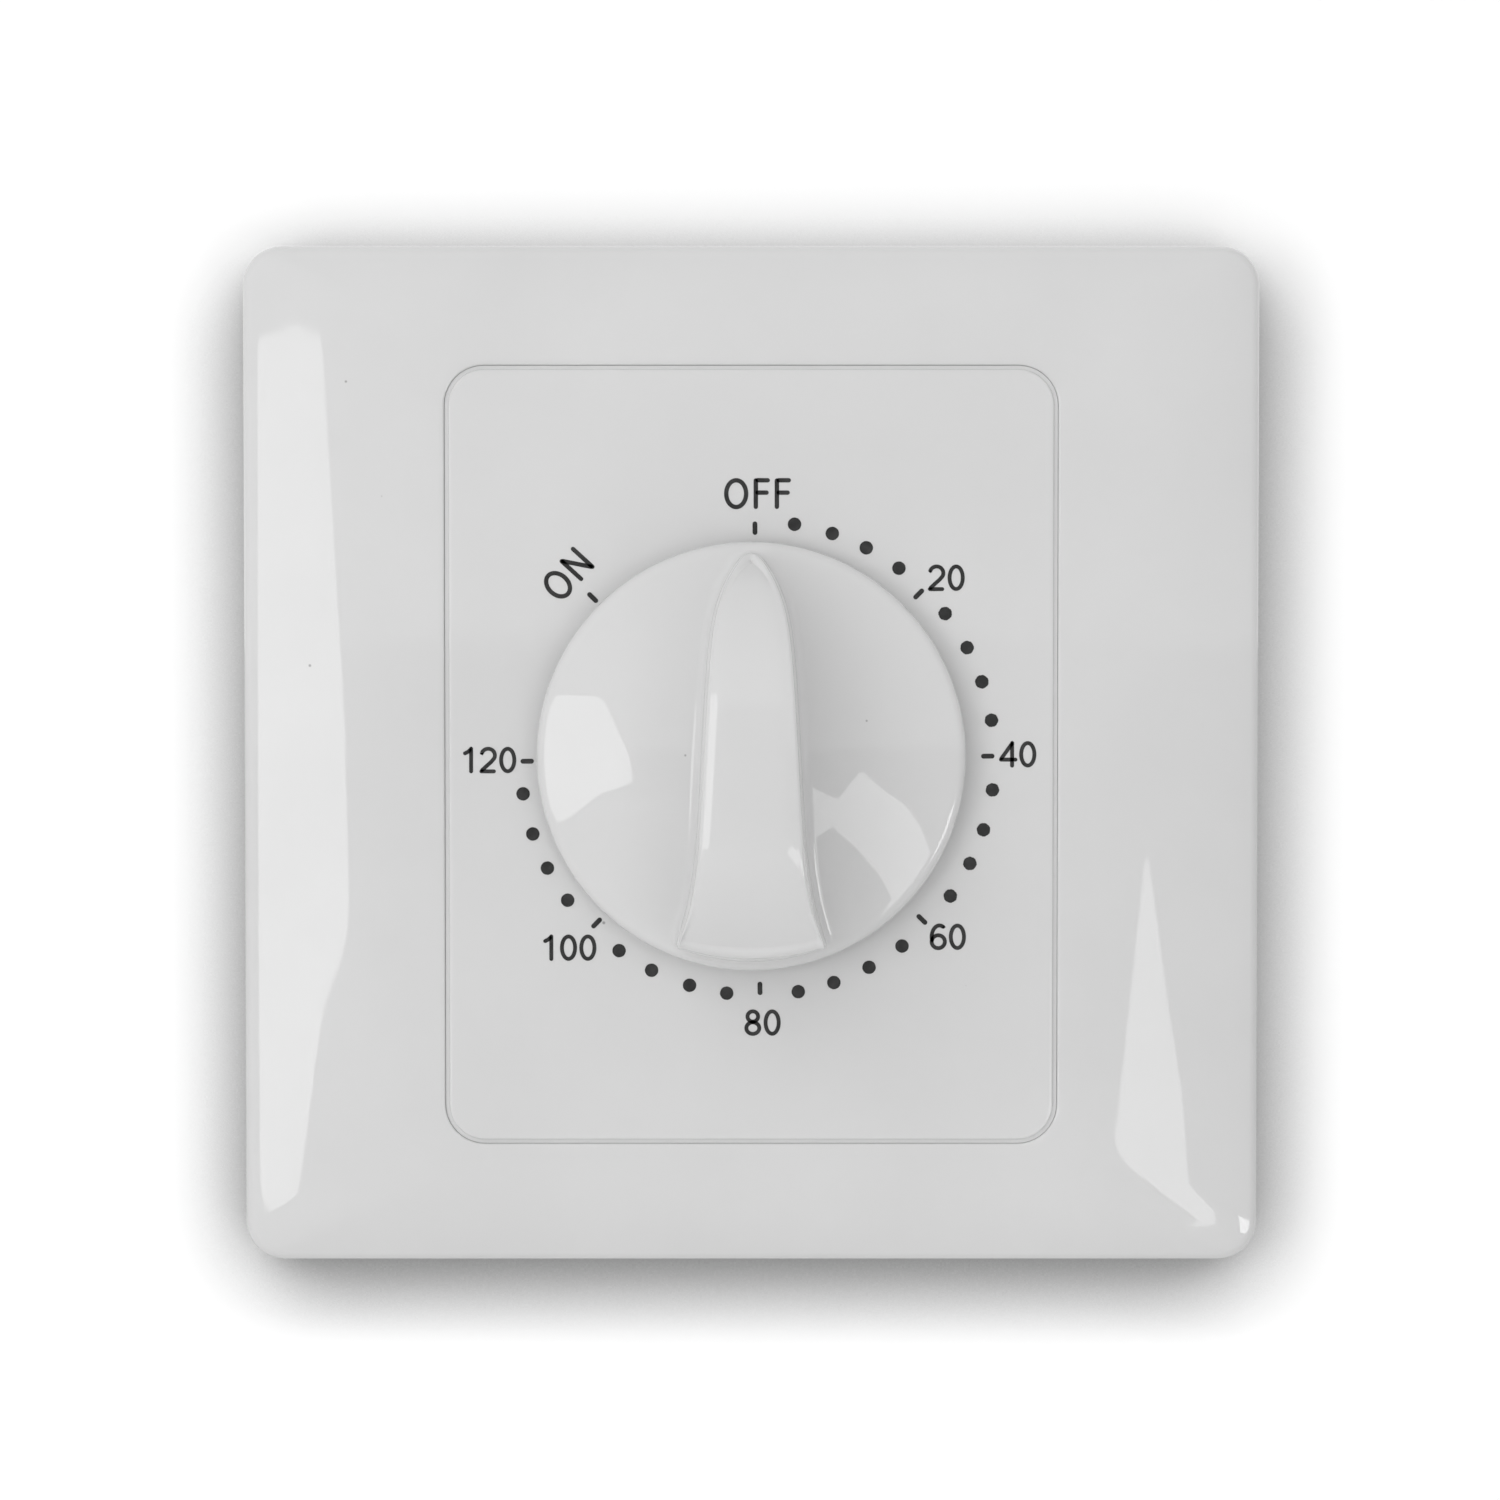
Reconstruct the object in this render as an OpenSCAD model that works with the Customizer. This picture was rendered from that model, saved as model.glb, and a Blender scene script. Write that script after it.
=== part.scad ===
// Wall timer switch: clip-on frame, dial panel, pointer knob and a wound movement in a rear case.
// Sizes are in mm. The wall is the XZ plane, +Z is up and the knob faces -Y.

/* [Outer frame] */
// Width of the frame
plate_w = 86; // [85:0.5:96]
// Height of the frame
plate_h = 86; // [85:0.5:96]
// Corner radius seen from the front
plate_corner_r = 3.3; // [2:0.1:5]
// Height of the straight outer edge above the wall
rim_h = 4.6; // [4:0.1:5.4]
// Wall thickness of the moulding
frame_wall = 1.9; // [1.6:0.1:2.1]

/* [Dial panel] */
// Width of the panel
panel_w = 51; // [50:0.25:51.5]
// Height of the panel
panel_h = 65; // [64:0.5:68]
// Corner radius of the panel
panel_corner_r = 3; // [2:0.1:4]
// Thickness of the panel face
panel_t = 2; // [1.8:0.1:2.4]
// Height of the panel face above the wall
face_h = 9; // [8.6:0.1:10.4]
// Groove between panel and frame
panel_gap = 0.35; // [0.25:0.05:0.6]

/* [Knob] */
// Diameter of the knob disc
knob_d = 36; // [34:0.5:38]
// Height of the whole knob
knob_h = 16; // [15:0.25:20]
// Height of the disc at its rim
knob_rim_h = 2.4; // [2:0.1:3.2]
// Rise of the domed disc from rim to centre
knob_dome = 2.2; // [1.4:0.1:3]
// Width of the grip across its waist
grip_w = 8.2; // [7.6:0.1:10]
// Air under the knob
knob_lift = 0.8; // [0.5:0.1:1.5]
// Wall thickness of the knob moulding
knob_wall = 1.6; // [1.3:0.1:1.9]

/* [Mounting frame] */
// Distance between the two wall screws
screw_spacing = 60.3; // [60.1:0.1:61.5]
// Width of each wall screw slot
slot_w = 4.5; // [4.2:0.1:5]
// Length of each wall screw slot
slot_l = 8.5; // [7:0.1:8.8]
// Thickness of the mounting frame
yoke_t = 1.6; // [1.5:0.1:2]

/* [Rear case] */
// Width of the case behind the wall
case_w = 48; // [45:0.25:49]
// Height of the case behind the wall
case_h = 50; // [45:0.5:56]
// Depth of the case behind the wall
case_depth = 26; // [25:0.5:32]
// Wall thickness of the case
case_wall = 1.5; // [1.2:0.1:1.7]

/* [Movement] */
// Diameter of the knob shaft
shaft_d = 6; // [5.6:0.1:6.4]
// Thickness of the two movement plates
plate_t = 1.2; // [1:0.1:1.4]
// Room between the movement plates
plate_gap = 16.6; // [16:0.1:17.6]
// Tooth size of the wheels, pitch diameter over teeth
gear_module = 0.26; // [0.22:0.005:0.27]
// Thickness of the mainspring strip
spring_t = 0.35; // [0.25:0.05:0.45]

/* [Terminals] */
// Diameter of the wire hole
wire_d = 3.2; // [2.6:0.1:3.6]
// Width of a terminal block
terminal_w = 8; // [7:0.25:10]
// Diameter of the clamp screw
clamp_d = 3.5; // [3:0.1:4]

/* [Hidden] */
$fn = 96;

// Radial clearance of turning fits, of fixed fits and of pieces that drop together
run_gap = 0.05;
fit_gap = 0.02;
slip_gap = 0.3;

// How far cuts run past a face that they open
cut_over = 0.1;

// Levels along the local z axis, which points from the wall to the viewer
panel_back = face_h - panel_t;
flange_t = 1.6;
flange_front = yoke_t + flange_t;
front_rear = panel_back - plate_t;
back_front = front_rear - plate_gap;
back_rear = back_front - plate_t;
case_back = -case_depth;
case_floor = case_back + case_wall;
floor_gap = 0.5;
step_floor = back_rear - floor_gap;
step_back = step_floor - case_wall;

// Frame
open_w = panel_w + 2 * panel_gap;
open_h = panel_h + 2 * panel_gap;
open_r = panel_corner_r + panel_gap;
lip_w = 0.6;
skirt_t = 1.2;
skirt_lift = 3.6;
skirt_z = yoke_t + skirt_lift;
leg_t = 1.2;
leg_w = 8;
leg_inset = 4.6;
leg_x = plate_w / 2 - frame_wall - leg_inset;
leg_y = 19;
leg_play = 0.15;
barb_reach = 0.9;
barb_bottom = 0.2;
barb_room = 1.2;
ledge_z = yoke_t / 2;
stop_back = 3.2;
stop_x = leg_x - stop_back;
stop_t = 1.5;

// Panel
panel_skirt_t = 1.5;
post_r = 3;
post_sink = 0.5;
post_inset = 3.5;
post_x = panel_w / 2 - panel_skirt_t - post_r + post_sink;
post_y = panel_h / 2 - post_inset;
panel_screw_x = 14;

// Mounting frame and case
yoke_gap = 0.4;
yoke_w = plate_w - 2 * (frame_wall + yoke_gap);
yoke_h = plate_h - 2 * (frame_wall + yoke_gap);
yoke_r = 2;
case_r = 2;
flange_inset = 0.5;
flange_w = panel_w - 2 * flange_inset;
flange_h = panel_h - 2 * flange_inset;
cavity_w = case_w - 2 * case_wall;
cavity_h = case_h - 2 * case_wall;
cavity_r = 1;
pocket_w = (case_w - 3 * case_wall) / 2;
pocket_x = (pocket_w + case_wall) / 2;

// Countersunk screws
screw_r = 1.5;
head_r = 2.8;
head_h = 1.3;
cross_l = 3.2;
cross_w = 0.7;
cross_d = 0.9;
screw_stop = 0.8;
case_screw_l = panel_back - screw_stop;
panel_screw_l = panel_t + plate_t + screw_stop;
through_gap = 0.15;

// Case corners stand back from the screw heads, whose seats keep a rim all round
head_rim = 0.6;
notch_r = head_r + head_rim + slip_gap;

// Movement plates
work_room = 1;
work_w = cavity_w - 2 * work_room;
work_h = cavity_h - 2 * work_room;
work_r = 2;
pillar_r = 2.2;
tenon_r = 1.4;
pillar_inset = 3.6;
pillar_x = work_w / 2 - pillar_inset;
pillar_y = work_h / 2 - pillar_inset;
side_pillar_y = -2;
pillar_spots = [
    [pillar_x, pillar_y],
    [pillar_x, -pillar_y],
    [-pillar_x, -pillar_y],
    [-pillar_x, side_pillar_y]
];

// Shaft
shaft_r = shaft_d / 2;
bush_wall = 1.5;
bush_brim = 1.5;
bush_r = shaft_r + bush_wall;
bush_flange_r = bush_r + bush_brim;
bush_flange_t = 1;
bush_sink = 0.4;
bush_front = face_h - bush_sink;
end_play = 0.1;
collar_front = front_rear - bush_flange_t - end_play;
collar_t = 0.8;
collar_brim = 1.2;
collar_rear = collar_front - collar_t;
seat_square = 0.7 * shaft_d;
great_t = 1;
washer_t = 0.6;
washer_brim = 2;
seat_over = 0.4;
seat_rear = collar_rear - great_t - washer_t - seat_over;
waist_r = seat_square / 2;
pivot_step = 0.3;
pivot_r = waist_r - pivot_step;
cam_square = 1.39 * pivot_r;
cam_drop = 1.2;
cam_front = back_rear - cam_drop;
cam_t = 3.5;
cam_rear = cam_front - cam_t;
shaft_over = 0.8;
shaft_rear = cam_rear - shaft_over;
cam_r = 7.6;
cam_dip = 1.6;
dip_floor = 0.8;
dip_mouth = 3.4;

// Knob
knob_r = knob_d / 2;
knob_z = face_h + knob_lift;
rim_top = knob_z + knob_rim_h;
knob_top = knob_z + knob_h;
dome_r = (knob_r * knob_r + knob_dome * knob_dome) / (2 * knob_dome);
hub_wall = 2.4;
hub_r = shaft_r + hub_wall;
shaft_sink = 5.8;
shaft_top = knob_top - shaft_sink;
flat_x = shaft_r / 2;
flat_lift = 0.6;
flat_z = knob_z + flat_lift;
clip_lift = 0.4;
clip_t = 0.5;
clip_w = 3.6;
rib_t = 1.2;
rib_lift = 1;
grip_half = grip_w / 2;
grip_inset = 0.9;
grip_end = knob_r - grip_inset;
tip_y = 5.4;
tip_half = 0.7;
tip_r = (pow(grip_half - tip_half, 2) + pow(grip_end - tip_y, 2)) / (2 * (grip_half - tip_half));
flare_r = 90;
nose_over = 0.4;
nose_run = grip_end - tip_y + nose_over;
nose_drop = knob_top - rim_top;
nose_r = (nose_run * nose_run + nose_drop * nose_drop) / (2 * nose_drop);
tail_y = -7.9;
tail_run = grip_end + tail_y;
tail_drop = 4.5;
tail_r = (tail_run * tail_run + tail_drop * tail_drop) / (2 * tail_drop);

// Going train
pressure = 20;
great_n = 90;
second_n = 70;
third_n = 50;
pinion_n = 10;
shift = 0.3;
backlash = 0.06;
level_pitch = 2.1;
great_z = collar_rear - great_t / 2;
second_z = great_z - level_pitch;
third_z = second_z - level_pitch;
escape_z = third_z - level_pitch;
wheel_t = 0.8;
pinion_l = 1.8;
arbor_r = 0.8;
arbor_pivot_r = 0.5;
arbor_play = 0.15;
boss_square = 2.2;
second_way = 135;
third_way = 22;
escape_way = -15;
pallet_way = -30;
second_span = gear_module * (great_n + pinion_n) / 2;
second_at = polar(second_span, second_way);
third_at = second_at + polar(gear_module * (second_n + pinion_n) / 2, third_way);
escape_at = third_at + polar(gear_module * (third_n + pinion_n) / 2, escape_way);
escape_r = 4.8;
escape_n = 30;
tooth_d = 1;
second_turn = mesh_turn(second_way, 0, great_n, pinion_n);
third_turn = mesh_turn(third_way, 0, second_n, pinion_n);
escape_turn = mesh_turn(escape_way, 0, third_n, pinion_n);

// Pallet lever
pallet_gap = 3;
pallet_span = escape_r + pallet_gap;
pallet_at = escape_at + polar(pallet_span, pallet_way);
pallet_hub_r = 1.9;
pallet_arm = 3.6;
pallet_half = 5.4;
pallet_room = 0.6;
pallet_tail_l = 3.4;
pallet_tail_w = 2;

// Mainspring
spring_lift = 0.6;
spring_drop = 1.4;
spring_room = 1.2;
spring_rear = back_front + spring_lift;
spring_h = escape_z - wheel_t / 2 - spring_drop - spring_rear;
spring_in = waist_r + fit_gap;
spring_out = second_span - arbor_r - spring_room;
spring_turns = 8;
spring_steps = 32;
spring_post_r = 1;
spring_post_y = -spring_out - spring_post_r - fit_gap;

// Contacts, on a block that fills the cavity's foot below the cam
block_gap = 0.8;
block_h = 3.1;
block_y = -cam_r - block_gap;
cavity_y = block_y - block_h;
roof_y = cavity_y - case_wall;
tail_w = 4;
tail_t = 0.8;
strip_drop = 2.4;
strip_z = cam_front - strip_drop;
block_top = strip_z - tail_t;
block_side = 3;
block_w = 2 * (pocket_x + block_side);
leaf_t = 0.35;
leaf_gap = 1;
leaf_x = cam_r + leaf_gap;
leaf_over = 0.6;
leaf_rear = cam_rear - leaf_over;
leaf_end = 6.5;
nose_sink = 0.6;
nose_base = 1.6;
nose_flat = 0.4;
contact_room = 3;
fixed_x = leaf_x + contact_room;
button_y = 4.6;
button_r = 1.3;
button_gap = 0.9;
block_screw_x = 4.5;
block_screw_y = (cavity_y + block_y) / 2;
block_screw_l = case_wall + 4.4;
block_hole_l = case_wall + 5;

// Terminals
terminal_lift = 1.5;
terminal_setback = 2;
terminal_sink = 3;
terminal_top = roof_y - terminal_lift;
terminal_h = terminal_top + case_h / 2 - terminal_setback;
terminal_d = case_depth + step_back - terminal_sink;
terminal_back = step_back - terminal_d;
wire_wall = 2.2;
wire_r = wire_d / 2;
wire_z = step_back - wire_wall - wire_r;
clamp_r = clamp_d / 2;
clamp_brim = 1.25;
clamp_head_r = clamp_r + clamp_brim;
clamp_head_t = 1.6;
clamp_sink = 0.4;
clamp_slot_w = 1;
clamp_slot_d = 0.9;
clamp_back = case_back + clamp_sink;
clamp_y = terminal_top - terminal_h / 2;

shell_white = [0.9, 0.9, 0.89];
inner_white = [0.82, 0.82, 0.8];
steel = [0.66, 0.67, 0.7];
brass = [0.8, 0.65, 0.3];
spring_steel = [0.36, 0.4, 0.5];
insulator = [0.2, 0.19, 0.18];
silver = [0.85, 0.85, 0.86];
cam_grey = [0.5, 0.52, 0.55];

function polar(r, a) = [r * cos(a), r * sin(a)];

function involute(a) = tan(a) * 180 / PI - a;

// Turn of a driven gear whose gap faces the driver's tooth along the line of centres at angle a
function mesh_turn(a, driver_turn, driver_n, driven_n) =
    a + 180 - 180 / driven_n + (a - driver_turn) * driver_n / driven_n;

// Half the angle of a tooth at radius r
function tooth_half(n, x, r) =
    let (pitch_r = gear_module * n / 2)
    let (base_r = pitch_r * cos(pressure))
    let (at_r = max(r, base_r))
    90 / n + (2 * x * tan(pressure) / n - backlash / 2 / pitch_r) * 180 / PI
        + involute(pressure) - involute(acos(base_r / at_r));

function gear_outline(n, x) =
    let (pitch_r = gear_module * n / 2)
    let (root_r = pitch_r - gear_module * (1.25 - x))
    let (outer_r = pitch_r + gear_module * (0.85 + 0.9 * x))
    let (steps = 4)
    [
        for (i = [0 : n - 1], side = [-1, 1], k = [0 : steps])
            let (step = side < 0 ? k : steps - k)
            let (r = root_r + (outer_r - root_r) * step / steps)
            polar(r, i * 360 / n + side * tooth_half(n, x, r))
    ];

// Saw teeth leaning the way the escape wheel turns
function escape_outline() = [
    for (i = [0 : escape_n - 1], k = [0 : 2])
        polar(k == 0 ? escape_r - tooth_d : escape_r, (i + [0, 0.62, 0.7][k]) * 360 / escape_n)
];

function spiral(offset, k) =
    let (share = k / (spring_turns * spring_steps))
    let (r = spring_in + (spring_out - spring_t - spring_in) * pow(share, 0.8) + offset)
    polar(r, 360 * spring_turns * share - 90);

module upright() {
    rotate([90, 0, 0])
        children();
}

module rounded(w, h, r) {
    square([w - 2 * r, h], center = true);
    square([w, h - 2 * r], center = true);
    for (sx = [-1, 1], sy = [-1, 1])
        translate([sx * (w / 2 - r), sy * (h / 2 - r)])
            circle(r);
}

module slab(w, h, r, z0, z1) {
    translate([0, 0, z0])
        linear_extrude(z1 - z0)
            rounded(w, h, r);
}

module rod(r, z0, z1) {
    translate([0, 0, z0])
        cylinder(r = r, h = z1 - z0);
}

module bar(side, z0, z1) {
    translate([-side / 2, -side / 2, z0])
        cube([side, side, z1 - z0]);
}

module box(low, high) {
    translate(low)
        cube(high - low);
}

module four_ways() {
    for (sx = [0, 1], sy = [0, 1])
        mirror([sx, 0, 0])
            mirror([0, sy, 0])
                children();
}

// Countersunk screw or its hole, head face at z = 0 and shank along +z
module countersunk(length, gap) {
    rotate_extrude()
        polygon([
            [0, 0],
            [head_r + gap, 0],
            [screw_r + gap, head_h],
            [screw_r + gap, length],
            [0, length]
        ]);
}

module cross_screw(length) {
    difference() {
        countersunk(length, 0);
        for (a = [0, 90])
            rotate(a)
                translate([-cross_l / 2, -cross_w / 2, -cut_over])
                    cube([cross_l, cross_w, cross_d + cut_over]);
    }
}

module at_posts() {
    four_ways()
        translate([post_x, post_y, 0])
            children();
}

// Section of the frame across one pair of sides: flat over the opening, an arc down to each edge
module crown(half, open, inset) {
    run = half - open;
    drop = face_h - rim_h;
    arc_r = (run * run + drop * drop) / (2 * drop);
    intersection() {
        translate([inset - half, -1])
            square([2 * (half - inset), face_h + 1 - inset]);
        union() {
            translate([-open, -1])
                square([2 * open, face_h + 1 - inset]);
            for (s = [-1, 1])
                translate([s * open, face_h - arc_r])
                    circle(arc_r - inset);
        }
    }
}

module pillow(inset, z0) {
    intersection() {
        rotate([90, 0, 0])
            linear_extrude(2 * plate_h, center = true)
                crown(plate_w / 2, open_w / 2 + lip_w, inset);
        rotate([90, 0, 90])
            linear_extrude(2 * plate_w, center = true)
                crown(plate_h / 2, open_h / 2 + lip_w, inset);
        slab(plate_w - 2 * inset, plate_h - 2 * inset, max(plate_corner_r - inset, 0.4), z0, face_h);
    }
}

module snap_leg() {
    translate([0, leg_y - leg_w / 2, 0]) {
        box([leg_x, 0, barb_bottom], [leg_x + leg_t, leg_w, face_h]);
        box([leg_x, 0, barb_bottom], [leg_x + leg_t + barb_reach, leg_w, ledge_z]);
        box([stop_x, 0, yoke_t], [stop_x + stop_t, leg_w, face_h]);
    }
}

module outer_frame() {
    color(shell_white)
        upright()
            difference() {
                union() {
                    difference() {
                        pillow(0, 0);
                        pillow(frame_wall, -1);
                    }
                    intersection() {
                        pillow(frame_wall / 2, 0);
                        union() {
                            slab(open_w + 2 * skirt_t, open_h + 2 * skirt_t,
                                open_r + skirt_t, skirt_z, face_h);
                            four_ways()
                                snap_leg();
                        }
                    }
                }
                slab(open_w, open_h, open_r, -1, face_h + 1);
            }
}

module dial_panel() {
    color(shell_white)
        upright()
            difference() {
                slab(panel_w, panel_h, panel_corner_r, flange_front, face_h);
                difference() {
                    slab(panel_w - 2 * panel_skirt_t, panel_h - 2 * panel_skirt_t,
                        panel_corner_r / 2, flange_front - 1, panel_back);
                    at_posts()
                        rod(post_r, flange_front - 2, face_h);
                }
                rod(bush_r + slip_gap, flange_front, face_h + 1);
                at_posts()
                    rod(screw_r + fit_gap, flange_front - 1, panel_back);
                for (s = [-1, 1])
                    translate([s * panel_screw_x, 0, face_h])
                        mirror([0, 0, 1])
                            countersunk(panel_screw_l, fit_gap);
            }
}

module snap_window() {
    translate([0, leg_y - leg_w / 2 - slip_gap, 0]) {
        box([leg_x - barb_room, 0, -1], [leg_x + leg_t + leg_play, leg_w + 2 * slip_gap, yoke_t + 1]);
        box([leg_x, 0, -1], [leg_x + leg_t + barb_reach + slip_gap, leg_w + 2 * slip_gap, ledge_z]);
    }
}

module wall_slot() {
    for (s = [-1, 1])
        translate([s * (slot_l - slot_w) / 2, 0])
            circle(slot_w / 2);
    square([slot_l - slot_w, slot_w], center = true);
}

module mounting_frame() {
    color(inner_white)
        upright()
            difference() {
                slab(yoke_w, yoke_h, yoke_r, 0, yoke_t);
                difference() {
                    slab(case_w + 2 * slip_gap, case_h + 2 * slip_gap, case_r + slip_gap, -1, yoke_t + 1);
                    at_posts()
                        rod(notch_r - slip_gap, -2, yoke_t + 2);
                }
                for (s = [-1, 1])
                    translate([s * screw_spacing / 2, 0, -1])
                        linear_extrude(yoke_t + 2)
                            wall_slot();
                four_ways()
                    snap_window();
                at_posts()
                    countersunk(yoke_t + 1, fit_gap);
            }
}

module rear_case() {
    color(inner_white)
        upright()
            difference() {
                union() {
                    difference() {
                        slab(case_w, case_h, case_r, case_back, yoke_t + cut_over);
                        at_posts()
                            rod(notch_r, case_back - 1, yoke_t);
                    }
                    slab(flange_w, flange_h, panel_corner_r, yoke_t, flange_front);
                }
                difference() {
                    union() {
                        slab(cavity_w, cavity_h, cavity_r, step_floor, flange_front + 1);
                        box([-cavity_w / 2, cavity_y, case_floor],
                            [cavity_w / 2, cavity_h / 2, step_floor + 1]);
                    }
                    at_posts()
                        rod(notch_r + case_wall, case_back - 1, flange_front + 2);
                }
                for (s = [-1, 1]) {
                    box([s * pocket_x - pocket_w / 2, -case_h, case_back - 1],
                        [s * pocket_x + pocket_w / 2, roof_y, step_back]);
                    box([s * pocket_x - tail_w / 2 - fit_gap, roof_y - 1, strip_z - tail_t - fit_gap],
                        [s * pocket_x + tail_w / 2 + fit_gap, cavity_y + 1, strip_z + fit_gap]);
                    translate([s * block_screw_x, block_screw_y, case_back])
                        countersunk(case_wall + 1, fit_gap);
                }
                at_posts()
                    rod(screw_r + through_gap, yoke_t - 1, flange_front + 1);
            }
}

module case_screws() {
    color(steel)
        upright()
            at_posts()
                cross_screw(case_screw_l);
}

module panel_screws() {
    color(steel)
        upright()
            for (s = [-1, 1])
                translate([s * panel_screw_x, 0, face_h])
                    mirror([0, 0, 1])
                        cross_screw(panel_screw_l);
}

module at_arbors() {
    for (at = [second_at, third_at, escape_at, pallet_at])
        translate(at)
            children();
}

module movement_plate(z0, hole_r) {
    difference() {
        slab(work_w, work_h, work_r, z0, z0 + plate_t);
        at_posts()
            rod(notch_r + case_wall + work_room, z0 - 1, z0 + plate_t + 1);
        rod(hole_r, z0 - 1, z0 + plate_t + 1);
        for (at = pillar_spots)
            translate(at)
                rod(tenon_r + fit_gap, z0 - 1, z0 + plate_t + 1);
        at_arbors()
            rod(arbor_pivot_r + run_gap, z0 - 1, z0 + plate_t + 1);
    }
}

module front_plate() {
    color(steel)
        upright()
            difference() {
                movement_plate(front_rear, bush_r + fit_gap);
                for (s = [-1, 1])
                    translate([s * panel_screw_x, 0, 0])
                        rod(screw_r + fit_gap, front_rear - 1, panel_back + 1);
            }
}

module back_plate() {
    color(steel)
        upright()
            difference() {
                movement_plate(back_rear, pivot_r + run_gap);
                translate([0, spring_post_y, 0])
                    rod(tenon_r / 2 + fit_gap, back_rear - 1, back_front + 1);
            }
}

module pillars() {
    color(steel)
        upright()
            for (at = pillar_spots)
                translate(at) {
                    rod(pillar_r, back_front, front_rear);
                    rod(tenon_r, back_rear, panel_back - fit_gap);
                }
}

module shaft_bush() {
    color(brass)
        upright()
            difference() {
                union() {
                    rod(bush_r, front_rear - bush_flange_t, bush_front);
                    rod(bush_flange_r, front_rear - bush_flange_t, front_rear);
                }
                rod(shaft_r + run_gap, front_rear - 2 * bush_flange_t, face_h);
            }
}

// Grip seen from above: a gothic point at the top, sides that flare to the tail
module grip_plan(inset) {
    intersection() {
        circle(grip_end - inset);
        union() {
            intersection() {
                intersection_for (s = [-1, 1])
                    translate([s * (tip_r - grip_half), tip_y])
                        circle(tip_r - inset);
                translate([-knob_r, tip_y])
                    square([knob_d, knob_r]);
            }
            difference() {
                translate([-knob_r, -knob_r])
                    square([knob_d, knob_r + tip_y]);
                for (s = [-1, 1])
                    translate([s * (grip_half + flare_r), tip_y])
                        circle(flare_r + inset);
            }
        }
    }
}

// What an arc of radius r leaves above the grip, from y outwards along side
module grip_fall(y, side, r, inset) {
    rotate([90, 0, 90])
        linear_extrude(2 * knob_d, center = true)
            translate([y, knob_top - r])
                difference() {
                    translate([side > 0 ? 0 : -2 * r, 0])
                        square(2 * r);
                    circle(r - inset);
                }
}

module grip(inset) {
    difference() {
        translate([0, 0, knob_z])
            linear_extrude(knob_h - inset)
                grip_plan(inset);
        grip_fall(tip_y, 1, nose_r, inset);
        grip_fall(tail_y, -1, tail_r, inset);
    }
}

module disc(inset) {
    rotate_extrude()
        intersection() {
            translate([0, knob_z])
                square([knob_r - inset, knob_rim_h + knob_dome]);
            translate([0, rim_top + knob_dome - dome_r])
                circle(dome_r - inset);
        }
}

module shaft_section(gap, flat) {
    intersection() {
        circle(shaft_r + gap);
        translate([-shaft_d, -shaft_d])
            square([shaft_d + flat, 2 * shaft_d]);
    }
}

module knob() {
    color(shell_white)
        upright()
            difference() {
                union() {
                    disc(0);
                    grip(0);
                }
                difference() {
                    translate([0, 0, -cut_over])
                        disc(knob_wall);
                    rod(hub_r, knob_z - 1, knob_top);
                    for (a = [45, 135])
                        rotate(a)
                            box([-knob_r, -rib_t / 2, knob_z + rib_lift], [knob_r, rib_t / 2, knob_top]);
                }
                difference() {
                    translate([0, 0, -cut_over])
                        grip(knob_wall);
                    box([-knob_r, -hub_r, knob_z - 1], [knob_r, hub_r, knob_top]);
                }
                rod(shaft_r + fit_gap, knob_z - 1, flat_z);
                translate([0, 0, knob_z - 1])
                    linear_extrude(shaft_top - knob_z + 1)
                        shaft_section(fit_gap, flat_x + clip_t + fit_gap);
            }
}

module knob_clip() {
    color(spring_steel)
        upright()
            box([flat_x + fit_gap / 2, -clip_w / 2, flat_z + clip_lift],
                [flat_x + clip_t, clip_w / 2, shaft_top]);
}

module main_shaft() {
    color(steel)
        upright() {
            translate([0, 0, flat_z])
                linear_extrude(shaft_top - flat_z)
                    shaft_section(0, flat_x);
            rod(shaft_r, collar_rear, flat_z);
            rod(shaft_r + collar_brim, collar_rear, collar_front);
            bar(seat_square, seat_rear, collar_front);
            rod(waist_r, back_front + end_play, collar_front);
            rod(pivot_r, cam_front, collar_front);
            bar(cam_square, shaft_rear, collar_front);
        }
}

module toothed(n, x, bore, z, thickness, turn) {
    translate([0, 0, z - thickness / 2])
        linear_extrude(thickness)
            difference() {
                rotate(turn)
                    polygon(gear_outline(n, x));
                square(bore + 2 * fit_gap, center = true);
            }
}

module great_wheel() {
    color(brass)
        upright()
            toothed(great_n, -shift, seat_square, great_z, great_t, 0);
}

module clutch_washer() {
    color(spring_steel)
        upright()
            translate([0, 0, collar_rear - great_t - washer_t])
                linear_extrude(washer_t)
                    difference() {
                        circle(shaft_r + washer_brim);
                        square(seat_square + 2 * fit_gap, center = true);
                    }
}

module cam() {
    color(cam_grey)
        upright()
            translate([0, 0, cam_rear])
                linear_extrude(cam_t)
                    difference() {
                        circle(cam_r);
                        polygon([
                            [cam_r - cam_dip, -dip_floor],
                            [2 * cam_r, -dip_mouth],
                            [2 * cam_r, dip_mouth],
                            [cam_r - cam_dip, dip_floor]
                        ]);
                        square(cam_square + 2 * fit_gap, center = true);
                    }
}

module mainspring() {
    last = spring_turns * spring_steps;
    color(spring_steel)
        upright()
            translate([0, 0, spring_rear])
                linear_extrude(spring_h)
                    polygon(concat(
                        [for (k = [0 : last]) spiral(0, k)],
                        [for (k = [last : -1 : 0]) spiral(spring_t, k)]
                    ));
}

module spring_post() {
    color(steel)
        upright()
            translate([0, spring_post_y, 0]) {
                rod(spring_post_r, back_front, spring_rear + spring_h);
                rod(tenon_r / 2, back_rear, spring_rear);
            }
}

module plain_arbor(at) {
    translate(at) {
        rod(arbor_r, back_front + arbor_play, front_rear - arbor_play);
        rod(arbor_pivot_r, back_rear + arbor_play, panel_back - arbor_play);
        children();
    }
}

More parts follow.
